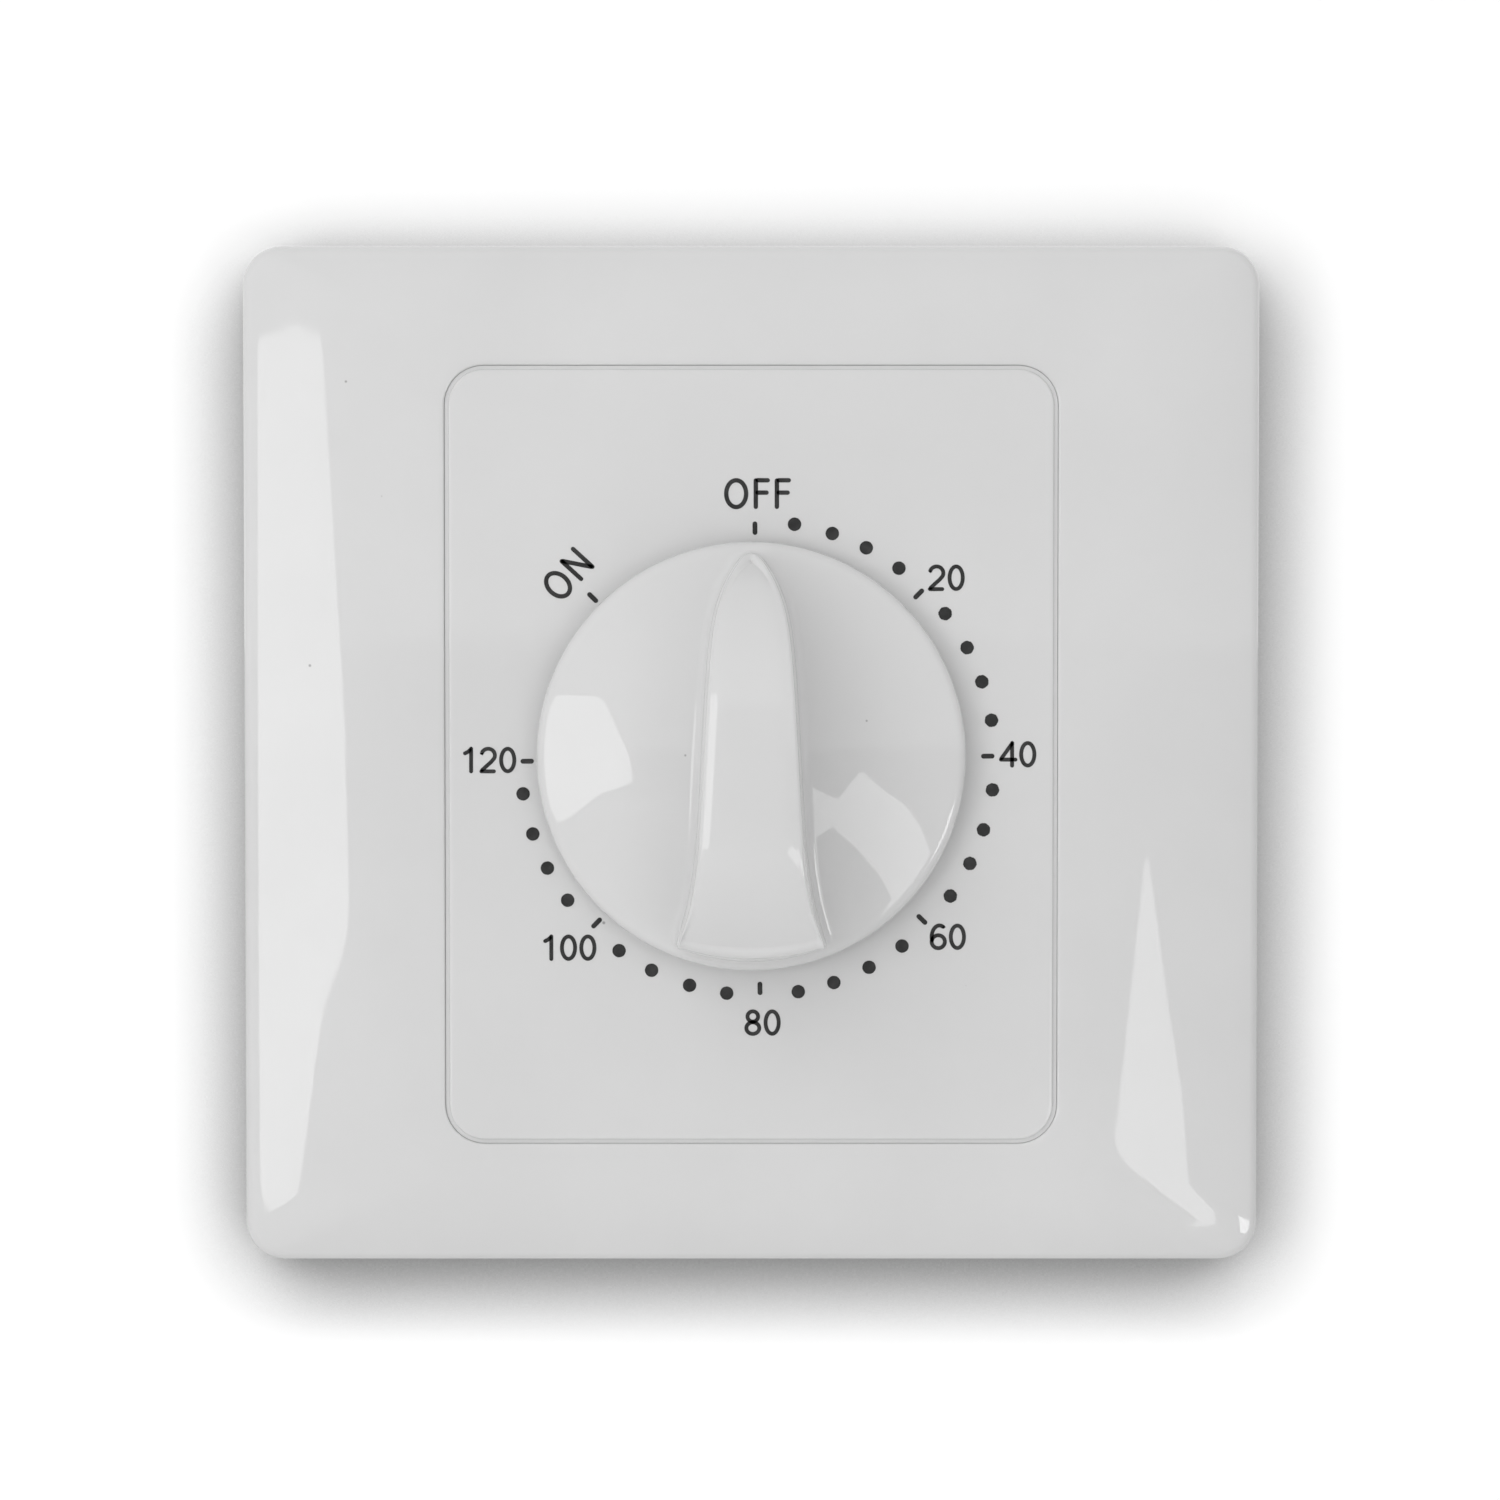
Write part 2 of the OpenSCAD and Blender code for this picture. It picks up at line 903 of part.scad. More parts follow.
module pinion(z, turn) {
    translate([0, 0, z - pinion_l / 2])
        linear_extrude(pinion_l)
            rotate(turn)
                polygon(gear_outline(pinion_n, shift));
}

module boss(z) {
    bar(boss_square, z - wheel_t, z + wheel_t);
}

module second_arbor() {
    color(steel)
        upright()
            plain_arbor(second_at) {
                pinion(great_z, second_turn);
                boss(second_z);
            }
}

module second_wheel() {
    color(brass)
        upright()
            translate(second_at)
                toothed(second_n, -shift, boss_square, second_z, wheel_t, 0);
}

module third_arbor() {
    color(steel)
        upright()
            plain_arbor(third_at) {
                pinion(second_z, third_turn);
                boss(third_z);
            }
}

module third_wheel() {
    color(brass)
        upright()
            translate(third_at)
                toothed(third_n, -shift, boss_square, third_z, wheel_t, 0);
}

module escape_arbor() {
    color(steel)
        upright()
            plain_arbor(escape_at) {
                pinion(third_z, escape_turn);
                boss(escape_z);
            }
}

module escape_wheel() {
    color(brass)
        upright()
            translate([escape_at.x, escape_at.y, escape_z - wheel_t / 2])
                linear_extrude(wheel_t)
                    difference() {
                        polygon(escape_outline());
                        square(boss_square + 2 * fit_gap, center = true);
                    }
}

// Anchor seen along its arbor: two arms just outside the tooth circle and a weighted tail
module pallet_plan() {
    circle(pallet_hub_r);
    difference() {
        translate([0, -pallet_half])
            square([pallet_arm, 2 * pallet_half]);
        translate([pallet_span, 0])
            circle(escape_r + pallet_room);
        for (s = [-1, 1])
            translate([0, s * pallet_half])
                rotate(s * 52)
                    square([3 * pallet_half, pallet_half], center = true);
    }
    translate([-pallet_tail_l, -pallet_tail_w / 2])
        square([pallet_tail_l, pallet_tail_w]);
}

module pallet_lever() {
    color(steel)
        upright()
            translate([pallet_at.x, pallet_at.y, escape_z - wheel_t / 2])
                linear_extrude(wheel_t)
                    difference() {
                        rotate(pallet_way + 180)
                            pallet_plan();
                        square(boss_square + 2 * fit_gap, center = true);
                    }
}

module pallet_arbor() {
    color(steel)
        upright()
            plain_arbor(pallet_at)
                boss(escape_z);
}

module contact_block() {
    color(insulator)
        upright()
            difference() {
                box([-block_w / 2, cavity_y, case_floor], [block_w / 2, block_y, block_top]);
                for (s = [-1, 1])
                    translate([s * block_screw_x, block_screw_y, case_back])
                        rod(screw_r + fit_gap, 0, block_hole_l);
            }
}

module block_screws() {
    color(steel)
        upright()
            for (s = [-1, 1])
                translate([s * block_screw_x, block_screw_y, case_back])
                    cross_screw(block_screw_l);
}

// Strip on the block from x0 to x1, bent up at its end into a blade of thickness t
module contact_strip(x0, x1, t) {
    box([x0, cavity_y, strip_z], [x1, block_y, strip_z + tail_t]);
    box([x1 - t, block_y - tail_t, strip_z], [x1, block_y + tail_t, strip_z + tail_t]);
    box([x1 - t, block_y + fit_gap, leaf_rear], [x1, leaf_end, strip_z + tail_t]);
}

module contact_button(x0, x1) {
    translate([x0, button_y, (leaf_rear + strip_z) / 2])
        rotate([0, 90, 0])
            cylinder(r = button_r, h = x1 - x0);
}

module fixed_contact() {
    color(brass)
        upright()
            contact_strip(pocket_x - tail_w / 2, fixed_x + tail_t, tail_t);
}

module fixed_tip() {
    color(silver)
        upright()
            contact_button((leaf_x + leaf_t + fixed_x + button_gap) / 2, fixed_x);
}

module moving_contact() {
    color(brass)
        upright() {
            contact_strip(-pocket_x - tail_w / 2, leaf_x + leaf_t, leaf_t);
            translate([0, 0, leaf_rear])
                linear_extrude(strip_z - leaf_rear)
                    polygon([
                        [leaf_x + leaf_t / 2, -nose_base],
                        [cam_r - nose_sink, -nose_flat],
                        [cam_r - nose_sink, nose_flat],
                        [leaf_x + leaf_t / 2, nose_base]
                    ]);
        }
}

module moving_tip() {
    color(silver)
        upright()
            contact_button(leaf_x + leaf_t, (leaf_x + leaf_t + fixed_x - button_gap) / 2);
}

module terminal(side) {
    difference() {
        union() {
            translate([side * pocket_x - terminal_w / 2, terminal_top - terminal_h, terminal_back])
                cube([terminal_w, terminal_h, terminal_d]);
            box([side * pocket_x - tail_w / 2, terminal_top - 1, strip_z - tail_t],
                [side * pocket_x + tail_w / 2, block_y, strip_z]);
        }
        translate([side * pocket_x, terminal_top - terminal_h - 1, wire_z])
            rotate([-90, 0, 0])
                cylinder(r = wire_r, h = terminal_h + 2);
        translate([side * pocket_x, clamp_y, 0])
            rod(clamp_r + fit_gap, terminal_back - 1, wire_z);
    }
}

module left_terminal() {
    color(brass)
        upright()
            terminal(-1);
}

module right_terminal() {
    color(brass)
        upright()
            terminal(1);
}

module terminal_screws() {
    color(steel)
        upright()
            for (s = [-1, 1])
                translate([s * pocket_x, clamp_y, 0])
                    difference() {
                        union() {
                            rod(clamp_head_r, clamp_back, clamp_back + clamp_head_t);
                            rod(clamp_r, clamp_back, wire_z - wire_r - fit_gap);
                        }
                        box([-clamp_head_r, -clamp_slot_w / 2, clamp_back - 1],
                            [clamp_head_r, clamp_slot_w / 2, clamp_back + clamp_slot_d]);
                    }
}

outer_frame();
dial_panel();
mounting_frame();
rear_case();
case_screws();
panel_screws();
front_plate();
back_plate();
pillars();
shaft_bush();
knob();
knob_clip();
main_shaft();
great_wheel();
clutch_washer();
cam();
mainspring();
spring_post();
second_arbor();
second_wheel();
third_arbor();
third_wheel();
escape_arbor();
escape_wheel();
pallet_lever();
pallet_arbor();
contact_block();
block_screws();
fixed_contact();
fixed_tip();
moving_contact();
moving_tip();
left_terminal();
right_terminal();
terminal_screws();
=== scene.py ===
from math import asin, atan2, cos, hypot, pi, radians, sin, sqrt

import bmesh
import bpy
from mathutils import Matrix, Vector


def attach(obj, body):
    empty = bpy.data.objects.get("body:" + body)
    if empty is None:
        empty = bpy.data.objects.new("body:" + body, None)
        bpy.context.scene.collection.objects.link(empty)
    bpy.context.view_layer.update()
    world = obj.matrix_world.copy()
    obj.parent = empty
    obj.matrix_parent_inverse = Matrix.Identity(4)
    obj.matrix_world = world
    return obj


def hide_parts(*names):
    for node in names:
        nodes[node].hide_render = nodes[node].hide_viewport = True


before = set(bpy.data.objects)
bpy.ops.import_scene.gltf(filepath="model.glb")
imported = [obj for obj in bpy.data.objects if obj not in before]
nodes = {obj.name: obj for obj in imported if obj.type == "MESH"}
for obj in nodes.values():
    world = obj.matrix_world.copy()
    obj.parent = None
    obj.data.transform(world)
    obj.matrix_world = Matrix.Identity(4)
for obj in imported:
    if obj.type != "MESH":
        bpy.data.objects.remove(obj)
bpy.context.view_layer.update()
mm = 0.001
fineWeld, coarseWeld = 1e-7, 2e-6


# across, up and out from the wall, in mm, to the shared frame
def spot(across, up, out):
    return Vector((across, -out, up)) * mm


def startRing(bm, points):
    ring = [bm.verts.new(p) for p in points]
    for a, b in zip(ring, ring[1:] + ring[:1]):
        bm.edges.new((a, b))
    return ring


def ringEdges(bm, ring):
    return [bm.edges.get((a, b)) for a, b in zip(ring, ring[1:] + ring[:1])]


# the new verts that an extrusion pulled out of the given ones
def pulledFrom(verts, made):
    fresh = {v for v in made if isinstance(v, bmesh.types.BMVert)}
    return [next(e.other_vert(v) for e in v.link_edges if e.other_vert(v) in fresh) for v in verts]


# extrudes a closed ring of edges and sets the new ring on the points
def growRing(bm, ring, points):
    made = bmesh.ops.extrude_edge_only(bm, edges=ringEdges(bm, ring))["geom"]
    grown = pulledFrom(ring, made)
    for v, p in zip(grown, points):
        v.co = p
    return grown


def closeRings(bm, first, last):
    bmesh.ops.bridge_loops(bm, edges=ringEdges(bm, first) + ringEdges(bm, last))


def linkMesh(bm, name, material):
    mesh = bpy.data.meshes.new(name)
    bm.to_mesh(mesh)
    bm.free()
    mesh.materials.append(material)
    thing = bpy.data.objects.new(name, mesh)
    bpy.context.collection.objects.link(thing)
    return thing


def makePiece(bm, name, body, material, sharp=40):
    bmesh.ops.remove_doubles(bm, verts=bm.verts, dist=fineWeld)
    bmesh.ops.recalc_face_normals(bm, faces=bm.faces)
    piece = linkMesh(bm, name, material)
    piece.data.shade_smooth()
    piece.data.set_sharp_from_angle(angle=radians(sharp))
    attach(piece, body)
    return piece


# finishes

def newFinish(name):
    finish = bpy.data.materials.new(name)
    finish.use_nodes = True
    tree = finish.node_tree
    return finish, tree, tree.nodes["Principled BSDF"]


def objectCoords(tree):
    return tree.nodes.new("ShaderNodeTexCoord").outputs["Object"]


def noiseNode(tree, scale, detail, coords):
    node = tree.nodes.new("ShaderNodeTexNoise")
    node.inputs["Scale"].default_value = scale
    node.inputs["Detail"].default_value = detail
    tree.links.new(coords, node.inputs["Vector"])
    return node.outputs["Fac"]


def rampNode(tree, fac, stops):
    node = tree.nodes.new("ShaderNodeValToRGB")
    for element, (position, color) in zip(node.color_ramp.elements, stops):
        element.position, element.color = position, (*color, 1)
    tree.links.new(fac, node.inputs["Fac"])
    return node.outputs["Color"]


# the span that most noise values lie in
noiseSpan = (0.3, 0.7)


def rangeNode(tree, fac, low, high):
    node = tree.nodes.new("ShaderNodeMapRange")
    node.inputs["From Min"].default_value = noiseSpan[0]
    node.inputs["From Max"].default_value = noiseSpan[1]
    node.inputs["To Min"].default_value = low
    node.inputs["To Max"].default_value = high
    tree.links.new(fac, node.inputs["Value"])
    return node.outputs["Result"]


def bumpNode(tree, shader, height, strength, distance):
    node = tree.nodes.new("ShaderNodeBump")
    node.inputs["Strength"].default_value = strength
    node.inputs["Distance"].default_value = distance
    tree.links.new(height, node.inputs["Height"])
    tree.links.new(node.outputs["Normal"], shader.inputs["Normal"])


def mappingNode(tree, coords, turn, stretch):
    node = tree.nodes.new("ShaderNodeMapping")
    node.inputs["Rotation"].default_value = turn
    node.inputs["Scale"].default_value = stretch
    tree.links.new(coords, node.inputs["Vector"])
    return node.outputs["Vector"]


def grey(value):
    return (value, value, value)


# moulded plastic: faint clouding, a few dark flecks and hairs, a little orange peel; each noise as scale
# and detail
plasticLook = {
    "cloud": (55, 4), "darkAt": 0.35, "paleAt": 0.65, "uneven": (140, 5), "ior": 1.52,
    "peelDetail": 2, "peelDepth": 0.0002,
    "fleckFull": 0.012, "fleckEnd": 0.022, "hairFull": 0.008, "hairEnd": 0.016, "hairCover": 0.5,
    "hairCells": 1.3, "hairTurn": (0.3, 0.9, 0.2), "hairStretch": (1, 1, 0.2),
}


# small marks in the middle of cells
def markNode(tree, coords, cells, cover, full, end):
    node = tree.nodes.new("ShaderNodeTexVoronoi")
    node.inputs["Scale"].default_value = cells
    tree.links.new(coords, node.inputs["Vector"])
    return rampNode(tree, node.outputs["Distance"], [(full, grey(cover)), (end, grey(0))])


def mouldedPlastic(name, pale, dark, fleck, rough, peelScale, peel, cells):
    p = plasticLook
    finish, tree, shader = newFinish(name)
    coords = objectCoords(tree)
    clouds = noiseNode(tree, *p["cloud"], coords)
    color = rampNode(tree, clouds, [(p["darkAt"], dark), (p["paleAt"], pale)])
    flecks = markNode(tree, coords, cells, 1, p["fleckFull"], p["fleckEnd"])
    turned = mappingNode(tree, coords, p["hairTurn"], p["hairStretch"])
    hairs = markNode(tree, turned, cells * p["hairCells"], p["hairCover"], p["hairFull"], p["hairEnd"])
    for cover in (flecks, hairs):
        mix = tree.nodes.new("ShaderNodeMix")
        mix.data_type = "RGBA"
        tree.links.new(cover, mix.inputs["Factor"])
        tree.links.new(color, mix.inputs["A"])
        mix.inputs["B"].default_value = (*fleck, 1)
        color = mix.outputs["Result"]
    tree.links.new(color, shader.inputs["Base Color"])
    uneven = noiseNode(tree, *p["uneven"], coords)
    tree.links.new(rangeNode(tree, uneven, *rough), shader.inputs["Roughness"])
    bumpNode(tree, shader, noiseNode(tree, peelScale, p["peelDetail"], coords), peel, p["peelDepth"])
    shader.inputs["IOR"].default_value = p["ior"]
    return finish


# worked metal: dull patches, and grain drawn out along its length
metalLook = {
    "patch": (180, 5), "dullAt": 0.3, "brightAt": 0.7,
    "grainDetail": 3, "stretch": (1, 1, 0.15), "grainDepth": 0.0001,
}


def workedMetal(name, bright, dull, rough, grainScale, grain):
    p = metalLook
    finish, tree, shader = newFinish(name)
    coords = objectCoords(tree)
    along = mappingNode(tree, coords, (0, 0, 0), p["stretch"])
    streaks = noiseNode(tree, grainScale, p["grainDetail"], along)
    patches = noiseNode(tree, *p["patch"], coords)
    color = rampNode(tree, patches, [(p["dullAt"], dull), (p["brightAt"], bright)])
    tree.links.new(color, shader.inputs["Base Color"])
    tree.links.new(rangeNode(tree, streaks, *rough), shader.inputs["Roughness"])
    bumpNode(tree, shader, streaks, grain, p["grainDepth"])
    shader.inputs["Metallic"].default_value = 1
    return finish


inkLook = {
    "wear": (900, 4), "freshAt": 0.4, "wornAt": 0.72, "uneven": (2500, 3), "rough": (0.32, 0.5),
    "grain": (3000, 2), "grainStrength": 0.1, "grainDepth": 0.0001, "specular": 0.25,
}


def printInk(name, fresh, worn):
    p = inkLook
    finish, tree, shader = newFinish(name)
    coords = objectCoords(tree)
    wear = noiseNode(tree, *p["wear"], coords)
    color = rampNode(tree, wear, [(p["freshAt"], fresh), (p["wornAt"], worn)])
    tree.links.new(color, shader.inputs["Base Color"])
    uneven = noiseNode(tree, *p["uneven"], coords)
    tree.links.new(rangeNode(tree, uneven, *p["rough"]), shader.inputs["Roughness"])
    bumpNode(tree, shader, noiseNode(tree, *p["grain"], coords), p["grainStrength"], p["grainDepth"])
    shader.inputs["Specular IOR Level"].default_value = p["specular"]
    return finish


# plastics: pale, dark and fleck colour, roughness, scale and strength of the peel, cells of the flecks
frontGloss = mouldedPlastic("frontGloss", grey(0.725), grey(0.7), grey(0.36), (0.018, 0.045), 420, 0.012, 140)
knobGloss = mouldedPlastic("knobGloss", grey(0.725), grey(0.705), grey(0.42), (0.014, 0.035), 300, 0.01, 170)
rearPlastic = mouldedPlastic(
    "rearPlastic", (0.72, 0.715, 0.69), (0.68, 0.675, 0.65), grey(0.4), (0.35, 0.5), 2600, 0.12, 110)
camPlastic = mouldedPlastic(
    "camPlastic", (0.34, 0.36, 0.38), (0.29, 0.31, 0.33), grey(0.2), (0.35, 0.5), 2200, 0.1, 160)
phenolic = mouldedPlastic(
    "phenolic", (0.05, 0.046, 0.042), (0.035, 0.032, 0.03), grey(0.1), (0.4, 0.55), 2000, 0.15, 400)
# metals: bright and dull colour, roughness, scale and strength of the grain
zincScrew = workedMetal("zincScrew", (0.66, 0.67, 0.69), (0.52, 0.53, 0.56), (0.22, 0.38), 900, 0.06)
rolledSteel = workedMetal("rolledSteel", (0.6, 0.61, 0.63), (0.48, 0.49, 0.51), (0.28, 0.42), 700, 0.05)
turnedBrass = workedMetal("turnedBrass", (0.8, 0.6, 0.28), (0.68, 0.49, 0.21), (0.2, 0.36), 800, 0.05)
bluedSteel = workedMetal("bluedSteel", (0.16, 0.19, 0.27), (0.11, 0.13, 0.19), (0.22, 0.34), 600, 0.05)
silverTip = workedMetal("silverTip", (0.86, 0.86, 0.85), (0.75, 0.75, 0.74), (0.18, 0.3), 900, 0.04)
dialInk = printInk("dialInk", grey(0.022), grey(0.045))
print("finishes made")


# outer frame: rings of rounded rectangles from the opening over the crown to the rim and back inside

outerFrame = {
    "half": 43, "corner": 3.3, "openHalf": (25.85, 32.85), "openCorner": 3.35,
    "face": 9, "drop": 1.92, "fall": 2.5, "edgeRound": 1.05, "edgeFrom": 17, "lipRound": 0.2, "lip": 0.6,
    "footUp": 0.25, "footIn": 0.2, "wall": 1.9, "innerCut": 0.6, "innerCorner": 1.2, "innerGap": 0.3,
    "skirt": 1.2, "skirtFoot": 5.2, "cornerSteps": 10, "lipSteps": 4, "crownSteps": 18, "edgeSteps": 6,
}


def roundedOutline(halfU, halfV, corner, out, steps):
    points = []
    for quarter, (su, sv) in enumerate([(1, 1), (-1, 1), (-1, -1), (1, -1)]):
        for k in range(steps + 1):
            a = (quarter + k / steps) * pi / 2
            u, v = su * (halfU - corner) + corner * cos(a), sv * (halfV - corner) + corner * sin(a)
            points.append(spot(u, v, out))
    return points


def frameRings():
    p = outerFrame
    u0, v0 = p["openHalf"]
    lipR, edgeR = p["lipRound"], p["edgeRound"]
    rings = [(u0, v0, p["openCorner"], p["skirtFoot"]), (u0, v0, p["openCorner"], p["face"] - lipR)]
    for k in range(1, p["lipSteps"] + 1):
        a = k / p["lipSteps"] * pi / 2
        grow = lipR * (1 - cos(a))
        rings.append((u0 + grow, v0 + grow, p["openCorner"] + grow, p["face"] - lipR + lipR * sin(a)))
    start = (u0 + p["lip"], v0 + p["lip"], p["openCorner"] + p["lip"])
    edgeIn = edgeR * (1 - sin(radians(p["edgeFrom"])))
    end = (p["half"] - edgeIn, p["half"] - edgeIn, p["corner"] - edgeIn)
    crown = []
    for k in range(p["crownSteps"] + 1):  # gentle crown
        t = k / p["crownSteps"]
        section = [a + (b - a) * t for a, b in zip(start, end)]
        crown.append((*section, p["face"] - p["drop"] * t ** p["fall"]))
    rings += crown
    for k in range(1, p["edgeSteps"] + 1):  # round over into the straight edge
        a = radians(p["edgeFrom"] + (90 - p["edgeFrom"]) * k / p["edgeSteps"])
        grow = edgeIn - edgeR * (1 - sin(a))
        fall = p["drop"] + edgeR * (cos(radians(p["edgeFrom"])) - cos(a))
        rings.append((*[c + grow for c in end], p["face"] - fall))
    for shrink, out in [(0, p["footUp"]), (p["footIn"], 0), (p["wall"], 0)]:
        rings.append((p["half"] - shrink, p["half"] - shrink, p["corner"] - shrink, out))
    for halfU, halfV, corner, out in reversed(crown[:-2]):  # inner face of the moulding
        insideU, insideV = [min(half, p["half"] - p["wall"]) for half in (halfU, halfV)]
        if insideU > u0 + p["skirt"] + p["innerGap"]:
            rings.append((insideU, insideV, max(corner - p["innerCut"], p["innerCorner"]), out - p["wall"]))
    skirt = (u0 + p["skirt"], v0 + p["skirt"], p["openCorner"] + p["skirt"])
    rings += [(*skirt, p["face"] - p["wall"]), (*skirt, p["skirtFoot"])]
    return rings


def buildFrame():
    bm = bmesh.new()
    rings = frameRings()
    first = ring = startRing(bm, roundedOutline(*rings[0], outerFrame["cornerSteps"]))
    for section in rings[1:]:
        ring = growRing(bm, ring, roundedOutline(*section, outerFrame["cornerSteps"]))
    closeRings(bm, first, ring)
    piece = makePiece(bm, "outerFrame", "housing", frontGloss)
    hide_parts("outer_frame")


# clip legs and their stops, under the frame
clipLegs = {
    "at": (36.5, 19), "size": (1.2, 8), "top": 5.6, "foot": 0.2, "round": 0.1,
    "barb": 0.9, "barbIn": 0.3, "barbRound": 0.15, "ledge": 0.8,
    "stopAt": 33.3, "stop": 1.5, "stopTop": 6.0, "seat": 1.6,
}


def addBlock(bm, low, high, bevel):
    made = bmesh.ops.create_cube(bm, size=1)["verts"]
    a, b = spot(*low), spot(*high)
    bmesh.ops.scale(bm, verts=made, vec=[abs(x) for x in b - a])
    bmesh.ops.translate(bm, verts=made, vec=(a + b) / 2)
    edges = list({e for v in made for e in v.link_edges})
    bmesh.ops.bevel(
        bm, geom=edges, offset=bevel * mm, segments=2, profile=0.5, affect="EDGES", material=-1)


def buildLegs():
    c = clipLegs
    (atU, atV), (thick, wide) = c["at"], c["size"]
    bm = bmesh.new()
    for side in (-1, 1):
        for end in (-1, 1):
            lowV, highV = end * atV - wide / 2, end * atV + wide / 2
            leg, stop = side * atU, side * c["stopAt"]
            barb, barbEnd = leg + side * c["barbIn"], leg + side * (thick + c["barb"])
            addBlock(bm, (leg, lowV, c["foot"]), (leg + side * thick, highV, c["top"]), c["round"])
            addBlock(bm, (barb, lowV, c["foot"]), (barbEnd, highV, c["ledge"]), c["barbRound"])
            addBlock(bm, (stop, lowV, c["seat"]), (stop + side * c["stop"], highV, c["stopTop"]), c["round"])
    makePiece(bm, "clipLegs", "housing", frontGloss, sharp=25)


buildFrame()
buildLegs()
print("outer frame made")


# dial panel with a rounded edge, and the hole that the shaft comes through

dialPanel = {
    "half": (25.5, 32.5), "corner": 3, "face": 9, "thick": 2, "foot": 3.2, "edgeRound": 0.2, "skirt": 1.5,
    "hole": 4.8, "rebate": 0.32, "rebateAt": 8.72, "cornerSteps": 10, "edgeSteps": 4, "holeSteps": 64,
}


def buildPanel():
    p = dialPanel
    steps, (u, v), r, edge = p["cornerSteps"], p["half"], p["corner"], p["edgeRound"]
    bm = bmesh.new()
    wide = (u + p["rebate"], v + p["rebate"], r + p["rebate"])
    foot = ring = startRing(bm, roundedOutline(*wide, p["foot"], steps))
    sections = [(*wide, p["rebateAt"]), (u, v, r, p["rebateAt"]), (u, v, r, p["face"] - edge)]
    for k in range(1, p["edgeSteps"] + 1):  # rounded edge
        a = k / p["edgeSteps"] * pi / 2
        inset = edge * (1 - cos(a))
        sections.append((u - inset, v - inset, r - inset, p["face"] - edge * (1 - sin(a))))
    sections.append((u - 2 * edge, v - 2 * edge, r - 2 * edge, p["face"]))
    for section in sections:
        ring = growRing(bm, ring, roundedOutline(*section, steps))
    turns = [2 * pi * k / p["holeSteps"] for k in range(p["holeSteps"])]
    hole = startRing(bm, [spot(p["hole"] * cos(a), p["hole"] * sin(a), p["face"]) for a in turns])
    bmesh.ops.triangle_fill(bm, edges=ringEdges(bm, ring) + ringEdges(bm, hole), use_beauty=True)
    holeBack = growRing(bm, hole, [w.co + spot(0, 0, -p["thick"]) for w in hole])
    inner = (u - p["skirt"], v - p["skirt"], r - p["skirt"])
    ring = growRing(bm, foot, roundedOutline(*inner, p["foot"], steps))
    ring = growRing(bm, ring, roundedOutline(*inner, p["face"] - p["thick"], steps))
    bmesh.ops.triangle_fill(bm, edges=ringEdges(bm, ring) + ringEdges(bm, holeBack), use_beauty=True)
    piece = makePiece(bm, "dialPanel", "housing", frontGloss)
    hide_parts("dial_panel")


buildPanel()
print("dial panel made")


# pointer knob: one skin from the ridge of the grip down its sides, over the domed disc and round the rim

pointerKnob = {
    "radius": 18, "foot": 9.8, "rim": 11.9, "dome": 2.6, "top": 25.8, "rimRound": 0.95, "rimIn": 17.31,
    # half width of the grip's foot at heights from tail to tip
    "width": [
        (-15.9, 6.35), (-13.8, 5.75), (-11.8, 5.25), (-8.1, 4.7), (-3.1, 4.34), (1.8, 4.08), (6.8, 3.78),
        (10.5, 3.42), (12.6, 2.98), (14.4, 2.32), (15.8, 1.55), (16.7, 0.85), (17.1, 0.25)],
    "tail": 17.15, "levels": 300, "tailSteps": 40, "softenings": 3, "slopeReach": 3,
    "spacing": 0.35, "turnSpacing": 2,
    "noseFrom": 4.6, "noseEnd": 17.25, "noseLow": 0.3, "nosePowers": (2.2, 0.55),
    "tailFrom": -6.5, "tailDrop": 4.6, "tailEnd": -16.2,
    "crown": 0.25, "crownIn": 0.75, "crownLeast": 0.6,
    "draft": 0.027, "edgeRound": 0.45, "footRound": 0.85, "tailLean": 0.9, "tailRound": 0.7, "noseRound": 1.2,
    "tailBlend": -9, "tailInset": 1.87, "noseBlend": 13, "noseInset": 0.8, "drawnLeast": 0.15,
    "tailFacing": 0.25, "noseFacing": 0.6, "roundShare": 0.42, "ridge": (-13.5, 15.6),
    "discEnd": 17.6, "tallLeast": 0.05, "rimRoom": 0.02, "footLeast": 0.04,
    "bore": 3.06, "boreEnd": 20.1, "hub": 5.4, "hubUp": 0.3, "wall": 1.6,
    "rimFoot": 0.2, "underUp": 0.9, "underIn": 0.5, "underAt": (12, 8),
    # how far along its way each ring lies
    "topRings": (0.0, 0.25, 0.5, 0.7, 0.85, 0.95), "sideRings": (0.33, 0.67),
    "discRings": (0.2, 0.4, 0.6, 0.8, 0.92, 0.98, 1.0), "edgeSteps": 6, "footSteps": 9, "rimSteps": 6,
}


# smooth curve through a list of pairs
def through(pairs, x):
    k = max(1, min(len(pairs) - 2, sum(1 for a, b in pairs if a <= x)))
    (x0, y0), (x1, y1) = pairs[k - 1], pairs[k]
    before = pairs[k - 2] if k > 1 else pairs[0]
    after = pairs[k + 1] if k + 1 < len(pairs) else pairs[-1]
    t = (x - x0) / (x1 - x0)
    m0 = (y1 - before[1]) / (x1 - before[0]) * (x1 - x0)
    m1 = (after[1] - y0) / (after[0] - x0) * (x1 - x0)
    return ((2 * t ** 3 - 3 * t ** 2 + 1) * y0 + (t ** 3 - 2 * t ** 2 + t) * m0
            + (3 * t ** 2 - 2 * t ** 3) * y1 + (t ** 3 - t ** 2) * m1)


def halfWidth(v):
    width = pointerKnob["width"]
    return through(width, max(width[0][0], min(width[-1][0], v)))


